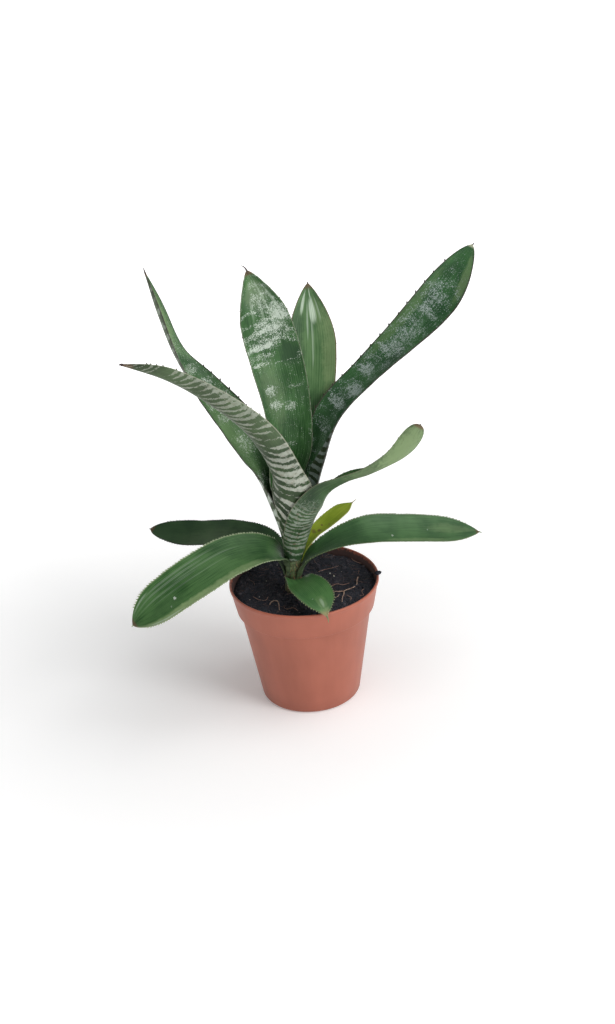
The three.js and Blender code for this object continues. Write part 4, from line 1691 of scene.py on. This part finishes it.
@dataclass
class Pot:
    """The moulded plastic pot: a tapered body under a wider band, with a lip and drain holes.

    Flare and wall_middle give the radius of the wall's middle at a height, above the peat.
    """

    SMOOTH_ANGLE = math.radians(32)

    height: float = 102
    rim: float = 60
    band: float = 23
    band_foot: float = 55.5
    body_top: float = 52.8
    foot: float = 40.5
    wall: float = 1.2
    floor: float = 1.8
    lip: float = 1.6
    sides: int = 168
    drains: int = 8
    drain_radius: float = 3.6
    drain_circle: float = 27
    flare: float = 0.188
    wall_middle: float = 39.85

    def _profile(self) -> list[tuple[float, float]]:
        """The wall's section: up the outside, over the lip and down the inside."""
        foot_round = 2.5
        step_round = 0.7
        lip_round = 0.8
        ledge = self.height - self.band
        neck = self.rim - self.lip / 2
        outside = [(self.foot - foot_round - 3, 0.0)]
        outside += arc((self.foot - foot_round, foot_round), foot_round, -90, -8, 6)
        outside += [
            (blend(self.foot, self.body_top, share), blend(foot_round, ledge, share))
            for share in (0.25, 0.5, 0.75, 0.985)
        ]
        outside += [(self.body_top + 0.05, ledge)]
        outside += arc((self.band_foot - step_round, ledge + step_round), step_round, -90, 0, 4)
        outside += [
            (blend(self.band_foot, neck, share), blend(ledge, self.height - 2.9, share))
            for share in (0.4, 0.8)
        ]
        outside += [(neck, self.height - 2.8), (neck + 0.15, self.height - 2.5)]
        outside += [(self.rim, self.height - 2.1)]
        outside += arc((self.rim - lip_round, self.height - lip_round), lip_round, 0, 90, 4)
        inner_lip = self.rim - self.lip
        inside = arc((inner_lip + 0.5, self.height - 0.5), 0.5, 90, 180, 3)
        inside += [
            (self.band_foot - self.wall, ledge + self.wall),
            (self.body_top - self.wall, ledge - 0.8),
            (blend(self.foot, self.body_top, 0.5) - self.wall, blend(0, ledge, 0.5)),
            (self.foot - self.wall, self.floor + 1.5),
            (self.foot - self.wall - 1.5, self.floor),
            (self.foot - 10, self.floor),
        ]
        return outside + inside

    def build(self) -> bpy.types.Object:
        """Makes the pot."""
        pot = turned("fine_pot", self._profile(), self.sides, closing=False)
        cutters = []
        for index in range(self.drains):
            around = 2 * math.pi * index / self.drains
            deselect()
            bpy.ops.mesh.primitive_cylinder_add(
                vertices=32,
                radius=self.drain_radius * MM,
                depth=4 * self.floor * MM,
                location=Vector((math.cos(around), math.sin(around), 0)) * self.drain_circle * MM,
            )
            cutters.append(bpy.context.active_object)
        cutter = join(cutters, "drain_cutter")
        fix_place()
        cut = pot.modifiers.new("drains", "BOOLEAN")
        cut.operation = "DIFFERENCE"
        cut.solver = "EXACT"
        cut.object = cutter
        apply_modifiers(pot)
        bpy.data.objects.remove(cutter)
        choose(pot)
        bpy.ops.object.shade_smooth_by_angle(angle=self.SMOOTH_ANGLE)
        dress(pot, Plastic().material(self))
        settle(pot, "pot", "pot")
        return pot


def peat_height(x: float, y: float) -> float:
    """The height of the peat's uneven surface in millimetres."""
    swell = 0.6 * math.sin(0.13 * x + 0.6) * math.cos(0.11 * y - 0.4)
    lumps = 0.4 * math.sin(0.31 * x - 0.23 * y + 1.3) * math.cos(0.27 * y + 0.19 * x)
    return PeatBed.LEVEL + PeatBed.RELIEF * (swell + lumps)


def crumb_height(x: float, y: float) -> float:
    """The peat's height with its crumbs and pits."""
    at = Vector((x, y, 0.0))
    lump = noise.noise(at * 0.33)
    crumb = noise.noise(at * 0.85 + Vector((7, 3, 1)))
    grit = noise.noise(at * 1.9 + Vector((1, 9, 4)))
    edge = smooth(52, 57.5, math.hypot(x, y))
    return peat_height(x, y) + 1.0 * lump + 0.85 * crumb + 0.4 * grit - 1.1 * edge


def scattered(draw: random.Random, reach: float) -> tuple[float, float]:
    """A random place on a disc of the given radius."""
    radius = reach * math.sqrt(draw.random())
    around = draw.uniform(0, 2 * math.pi)
    return radius * math.cos(around), radius * math.sin(around)


def on_peat(x: float, y: float, above: float) -> Matrix:
    """The place at a height above the crumbly peat, all in millimetres."""
    return Matrix.Translation(Vector((x, y, crumb_height(x, y) + above)) * MM)


@dataclass
class PeatBed:
    """The peat that fills the pot, with loose crumbs, perlite grains and fibres on it."""

    LEVEL = 95.5
    RELIEF = 1.3
    LONG_FIBRES = (
        ((21, -4.2), (26, -3.2), (31, -4.6), (36, -3)),
        ((39, 43), (41.5, 38), (42, 34), (45, 31)),
        ((45, 31), (48.5, 31.6), (51, 33.7)),
        ((46.9, -14), (45, -18), (46, -22), (43, -26)),
        ((-41, -14), (-36, -19), (-31, -20.5), (-29, -17)),
        ((-6, -41), (-10, -37), (-15, -37), (-17, -33)),
        ((33, -24), (36, -28), (35, -33)),
        ((12, 20), (18, 24), (25, 23), (29, 27)),
    )
    SIDE = ((38.4, 2.3), (39.0, 3.6), (51.0, 77.6), (53.9, 81.0), (57.0, 93.2))
    LARGE_GRAINS = ((21.4, 15.7), (24.4, 11.9))
    STRAW = 0.95
    CRUMB_SEED = 21
    CRUMB_SIZES = (0.3, 0.85)
    LUMP_SIZES = (0.9, 1.9)
    FIBRE_SEED = 5
    FIBRE_MODELS = 7
    FIBRE_LENGTHS = (3, 10)
    FIBRE_THICKNESS = (2.6, 6.5)
    GRAIN_SEED = 12
    GRAIN_SIZES = (0.25, 0.45)
    LARGE_GRAIN_SIZES = (0.5, 0.8)

    sides: int = 320
    rings: int = 74
    crumbs: int = 1500
    lumps: int = 130
    fibres: int = 260
    grains: int = 9
    crumb_reach: float = 55.5
    fibre_reach: float = 53
    grain_reach: float = 50

    def build(self, soil: bpy.types.Material) -> list[bpy.types.Object]:
        """Makes the bed and what lies on it."""
        bed = self._bed()
        dress(bed, soil)
        settle(bed, "peat", "peat")
        crumbs = self._crumbs()
        dress(crumbs, soil)
        settle(crumbs, "peat")
        fibres = self._fibres()
        dress(fibres, FIBRE.material())
        settle(fibres, "root")
        perlite = self._perlite()
        dress(perlite, PERLITE.material())
        settle(perlite, "peat")
        return [bed, crumbs, fibres, perlite]

    def _bed(self) -> bpy.types.Object:
        """The body of peat with its crumbly top."""
        shoulder = self.SIDE[-1][0]
        step = (shoulder - 0.6) / self.rings
        top = [(shoulder - 0.4 - step * index, self.LEVEL) for index in range(self.rings)]
        bed = turned("peat_bed", [*self.SIDE, *top], self.sides)
        for vertex in bed.data.vertices:
            if vertex.co.z > (self.LEVEL - 0.5) * MM:
                vertex.co.z = crumb_height(vertex.co.x / MM, vertex.co.y / MM) * MM
        bpy.ops.object.shade_smooth()
        return bed

    def _lump_models(self, count: int, detail: int, seed: float) -> list[bpy.types.Object]:
        """Small rough lumps to copy."""
        models = []
        for index in range(count):
            deselect()
            bpy.ops.mesh.primitive_ico_sphere_add(subdivisions=detail, radius=1.0)
            model = named(f"lump_{index}")
            for vertex in model.data.vertices:
                push = noise.noise(vertex.co * 1.3 + Vector((seed, index * 5.0, 0)))
                vertex.co *= 1 + 0.55 * push
            models.append(model)
        return models

    def _crumbs(self) -> bpy.types.Object:
        """Loose crumbs, many small and some large."""
        draw = random.Random(self.CRUMB_SEED)
        models = self._lump_models(3, 1, 3.0) + self._lump_models(2, 2, 8.0)
        places = []
        for index in range(self.crumbs + self.lumps):
            big = index >= self.crumbs
            x, y = scattered(draw, self.crumb_reach)
            size = draw.uniform(*(self.LUMP_SIZES if big else self.CRUMB_SIZES))
            turn = Matrix.Rotation(draw.uniform(0, 6.28), 4, "Z")
            turn = turn @ Matrix.Rotation(draw.uniform(0, 3), 4, "X")
            sizes = Vector((1, draw.uniform(0.6, 1), draw.uniform(0.5, 0.8))) * size * MM
            number = draw.randrange(3, 5) if big else draw.randrange(3)
            at = on_peat(x, y, size * 0.15)
            places.append((number, at @ turn @ Matrix.Diagonal((*sizes, 1)), draw.random()))
        return copies("peat_crumbs", models, places)

    def _fibre_models(self, draw: random.Random) -> list[bpy.types.Object]:
        """Curled fibres a metre long, so that a copy's scale is its length."""
        models = []
        for index in range(self.FIBRE_MODELS):
            bend = draw.uniform(-0.7, 0.7)
            turn = draw.uniform(-0.5, 0.5)
            points = []
            for share in (0, 0.25, 0.5, 0.75, 1):
                aside = 420 * bend * math.sin(2.6 * share) + 300 * turn * share * share
                points.append(Vector((share * 1000 - 500, aside, 0)))
            model = tube(f"fibre_{index}", points, lambda share: 22 * (1 - 0.6 * share), sides=4)
            for vertex in model.data.vertices:
                vertex.co.z += 0.03 * math.sin(4 * vertex.co.x + index)
            models.append(model)
        return models

    def _fibres(self) -> bpy.types.Object:
        """Short root hairs and fibres, curled on the peat."""
        draw = random.Random(self.FIBRE_SEED)
        models = self._fibre_models(draw)
        places = []
        for _ in range(self.fibres):
            x, y = scattered(draw, self.fibre_reach)
            length = draw.uniform(*self.FIBRE_LENGTHS)
            thick = draw.uniform(*self.FIBRE_THICKNESS)
            turn = Matrix.Rotation(draw.uniform(0, 6.28), 4, "Z")
            turn = turn @ Matrix.Rotation(draw.uniform(-0.12, 0.12), 4, "Y")
            scale = Matrix.Diagonal((length * MM, length * MM, thick * MM, 1))
            number = draw.randrange(self.FIBRE_MODELS)
            places.append((number, on_peat(x, y, 0.75) @ turn @ scale, draw.random()))
        short = copies("peat_fibres", models, places)
        return join([short, *self._long_fibres()], "peat_fibres")

    def _long_fibres(self) -> list[bpy.types.Object]:
        """The thin pale roots that cross the peat."""
        made = []
        for index, run in enumerate(self.LONG_FIBRES):
            points = [Vector((x, y, crumb_height(x, y) + 0.9)) for x, y in run]
            fibre = tube(f"long_fibre_{index}", points, lambda share: 0.3 - 0.12 * share, sides=6)
            note(fibre.data, "tone", [self.STRAW] * len(fibre.data.vertices))
            made.append(fibre)
        return made

    def _perlite(self) -> bpy.types.Object:
        """A few white mineral grains."""
        draw = random.Random(self.GRAIN_SEED)
        models = self._lump_models(2, 2, 14.0)
        places = []
        for index in range(self.grains):
            large = index < len(self.LARGE_GRAINS)
            anywhere = scattered(draw, self.grain_reach)
            x, y = self.LARGE_GRAINS[index] if large else anywhere
            size = draw.uniform(*(self.LARGE_GRAIN_SIZES if large else self.GRAIN_SIZES))
            scale = Matrix.Diagonal((size * MM, size * MM, size * 0.8 * MM, 1))
            places.append((draw.randrange(2), on_peat(x, y, size * 0.5) @ scale, draw.random()))
        return copies("peat_perlite", models, places)


@dataclass
class Root:
    """A root bare on the peat, with its branches."""

    LIFT = 0.7

    name: str
    radius: float
    runs: tuple[tuple[tuple[float, float], ...], ...]

    def _thickness(self, share: float) -> float:
        """The radius at a share of a run: thinner towards its end, with knots."""
        return self.radius * (1.15 - 0.45 * share + 0.12 * math.sin(17 * share))

    def build(self, material: bpy.types.Material) -> bpy.types.Object:
        """Makes the root."""
        parts = []
        for index, run in enumerate(self.runs):
            points = [Vector((x, y, peat_height(x, y) + self.radius + self.LIFT)) for x, y in run]
            parts.append(tube(f"{self.name}_{index}", points, self._thickness, sides=10))
        root = join(parts, "fine_" + self.name)
        bpy.ops.object.shade_smooth()
        dress(root, material)
        settle(root, "root", self.name)
        return root


@dataclass
class Stem:
    """The short stem that the sheaths wrap, with the scars and dry fibres of older leaves."""

    FIBRE_SEED = 31

    radius: float = 6.1
    top_radius: float = 5.3
    buried_radius: float = 5.2
    bottom: float = -26
    top: float = 56
    taper_from: float = 29
    ring_depth: float = 0.22
    wrinkle_depth: float = 0.35
    sides: int = 72
    fibres: int = 70

    def build(self) -> list[bpy.types.Object]:
        """Makes the stem and its dry fibres."""
        profile = [(self.buried_radius - 2, self.bottom), (self.buried_radius, self.bottom + 2)]
        profile += [(self.radius, -2.0)]
        profile += [(self.radius, height * 0.5) for height in range(-2, 2 * self.taper_from + 1)]
        profile += [(self.top_radius, self.top - 2), (self.top_radius - 2, self.top)]
        stem = turned("fine_stem", profile, self.sides)
        for vertex in stem.data.vertices:
            height = vertex.co.z / MM
            if height < -4 or height > self.taper_from:
                continue
            around = math.atan2(vertex.co.y, vertex.co.x)
            ring = math.sin(height * 1.25 + 0.9 * math.sin(around * 2)) ** 3
            wrinkle = noise.noise(Vector((math.cos(around) * 3, math.sin(around) * 3, height * 0.25)))
            grow = 1 + (self.ring_depth * ring + self.wrinkle_depth * wrinkle) / self.radius
            vertex.co.x *= grow
            vertex.co.y *= grow
        stem.rotation_euler = (0, math.radians(ROSETTE.lean), 0)
        stem.location = ROSETTE.base * MM
        choose(stem)
        fix_place()
        bpy.ops.object.shade_smooth()
        dress(stem, Bark().material())
        settle(stem, "stem", "stem")
        return [stem, self._dry_fibres()]

    def _dry_fibres(self) -> bpy.types.Object:
        """Papery brown shreds that cling to the stem between the leaf bases."""
        draw = random.Random(self.FIBRE_SEED)
        shreds = []
        for index in range(self.fibres):
            azimuth = draw.uniform(230, 380) if index % 4 else draw.uniform(0, 360)
            height = draw.uniform(1.5, 24) if index % 3 else draw.uniform(0.5, 5)
            length = draw.uniform(3, 8)
            drift = draw.uniform(-24, 24)
            points = []
            for share in (0, 0.35, 0.7, 1):
                out = self.radius + 0.35 + 1.3 * share**3 * draw.uniform(0.2, 1)
                points.append(ROSETTE.point(out, azimuth + drift * share, height + length * share))
            width = draw.uniform(0.14, 0.34)
            shred = tube(f"shred_{index}", points, lambda share: width * (1.05 - share), sides=4)
            shreds.append(shred)
        dry = join(shreds, "stem_fibres")
        bpy.ops.object.shade_smooth()
        dress(dry, DRY_SHRED.material())
        settle(dry, "stem")
        return dry


@dataclass
class RimCrumb:
    """The crumb of peat on the pot's rim."""

    at: tuple[float, float, float] = (59.4, -3, 103.9)
    radius: float = 2.5
    squash: tuple[float, float, float] = (1, 0.8, 0.6)

    def build(self, soil: bpy.types.Material) -> bpy.types.Object:
        """Makes the crumb."""
        deselect()
        bpy.ops.mesh.primitive_ico_sphere_add(subdivisions=4, radius=self.radius * MM)
        crumb = named("fine_rim_crumb")
        for vertex in crumb.data.vertices:
            push = noise.noise(vertex.co / MM * 0.8) + 0.7 * noise.noise(vertex.co / MM * 2.1)
            vertex.co *= 1 + 0.3 * push
        crumb.scale = self.squash
        crumb.location = Vector(self.at) * MM
        fix_place()
        bpy.ops.object.shade_smooth()
        dress(crumb, soil)
        settle(crumb, "peat", "rim_crumb")
        return crumb


# Studio


@dataclass
class Studio:
    """The pale floor, the soft lights and the camera at the photograph's angle."""

    eye: tuple[float, float, float] = (0.0066, -0.95685, 0.63138)
    pitch: float = 26.2
    roll: float = 4.0
    lens: float = 48.0
    sensor: float = 36.0
    aim: tuple[float, float, float] = (0, 0, 0.18)
    horizon: float = 1.0
    zenith: float = 0.26
    air_rise: tuple[float, float] = (0.12, 0.5)
    floor_size: float = 14.0
    floor_drop: float = 0.0002
    white: Colour = (0.94, 0.94, 0.94, 1)
    glow_near: Colour = (0.16, 0.16, 0.16, 1)
    glow_far: Colour = (0.9, 0.9, 0.9, 1)
    glow_reach: tuple[float, float] = (0.05, 0.9)

    def build(self) -> None:
        """Sets the whole studio up."""
        self._camera()
        self._floor()
        self._light("sky", (0.75, -0.3, 1.95), 1.5, 18.5)
        self._light("key", (1.25, -0.95, 0.95), 0.8, 12.5)
        world = bpy.data.worlds.new("studio_air")
        bpy.context.scene.world = world
        world.use_nodes = True
        self._air(world)
        bpy.context.scene.view_settings.view_transform = "Standard"

    def _air(self, world: bpy.types.World) -> None:
        """Soft light from all round, white at the height of the horizon and greyer above."""
        nodes, links = world.node_tree.nodes, world.node_tree.links
        air = nodes["Background"]
        direction = nodes.new("ShaderNodeTexCoord")
        parts = nodes.new("ShaderNodeSeparateXYZ")
        height = nodes.new("ShaderNodeMapRange")
        height.interpolation_type = "SMOOTHSTEP"
        limits = (*self.air_rise, self.horizon, self.zenith)
        for name, value in zip(("From Min", "From Max", "To Min", "To Max"), limits):
            height.inputs[name].default_value = value
        links.new(direction.outputs["Generated"], parts.inputs[0])
        links.new(parts.outputs["Z"], height.inputs["Value"])
        links.new(height.outputs[0], air.inputs["Strength"])
        air.inputs["Color"].default_value = (1, 1, 1, 1)

    def _camera(self) -> None:
        """The camera, rolled so that level lines rise to the right."""
        pitch, roll = math.radians(self.pitch), math.radians(self.roll)
        ahead = Vector((0, math.cos(pitch), -math.sin(pitch)))
        level = Vector((1, 0, 0))
        over = Vector((0, math.sin(pitch), math.cos(pitch)))
        right = level * math.cos(roll) - over * math.sin(roll)
        up = level * math.sin(roll) + over * math.cos(roll)
        camera = bpy.data.cameras.new("camera")
        camera.lens = self.lens
        camera.sensor_width = self.sensor
        camera.sensor_fit = "AUTO"
        holder = linked("camera", camera)
        turn = Matrix((right, up, -ahead)).transposed()
        holder.matrix_world = Matrix.Translation(self.eye) @ turn.to_4x4()
        bpy.context.scene.camera = holder

    def _floor(self) -> None:
        """A wide white floor, lit evenly far away by its own faint glow."""
        deselect()
        bpy.ops.mesh.primitive_plane_add(size=self.floor_size, location=(0, 0, -self.floor_drop))
        floor = named("studio_floor")
        graph = Graph("white_floor")
        x, y, _ = graph.split(graph.place())
        far = ((x * x + y * y) ** 0.5).rise(*self.glow_reach)
        glow = graph.mix(far, self.glow_near, self.glow_far)
        dress(floor, graph.close(self.white, 0.9, 0.1, glow=glow))

    def _light(self, name: str, at: tuple[float, float, float], size: float, power: float) -> None:
        """A square soft light that looks at the plant."""
        lamp = bpy.data.lights.new(name, "AREA")
        lamp.size = size
        lamp.energy = power
        holder = linked(name, lamp)
        holder.location = at
        ahead = Vector(self.aim) - Vector(at)
        holder.rotation_euler = ahead.to_track_quat("-Z", "Y").to_euler()


ROOTS = (
    Root(
        "root_right",
        0.4,
        (
            (
                (43.4, 5.6), (42.2, -1), (42, -5.5), (40.2, -9), (37.2, -12.2), (32.4, -14.6),
                (30.9, -17.2),
            ),
            ((30.9, -17.2), (26.4, -17.4), (22.2, -14.6)),
            ((30.9, -17.2), (30.8, -21), (29.4, -26), (28.6, -33.8)),
        ),
    ),
    Root("root_front", 0.34, (((19, -21), (22, -24), (25, -25), (27, -22)),)),
    Root(
        "root_left",
        0.4,
        (((-28, -28.6), (-25.4, -24.2), (-22.6, -24.8), (-20.9, -30), (-20.6, -38.6)),),
    ),
)


def main() -> None:
    """Builds every piece over the frame."""
    logging.basicConfig(level=logging.INFO, format="%(message)s")
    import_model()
    Studio().build()
    Pot().build()
    soil = Soil().material()
    PeatBed().build(soil)
    Stem().build()
    pale = PALE_ROOT.material()
    for root in ROOTS:
        root.build(pale)
    RimCrumb().build(soil)
    for leaf in LEAVES:
        leaf().build()


if __name__ == "__main__":
    main()
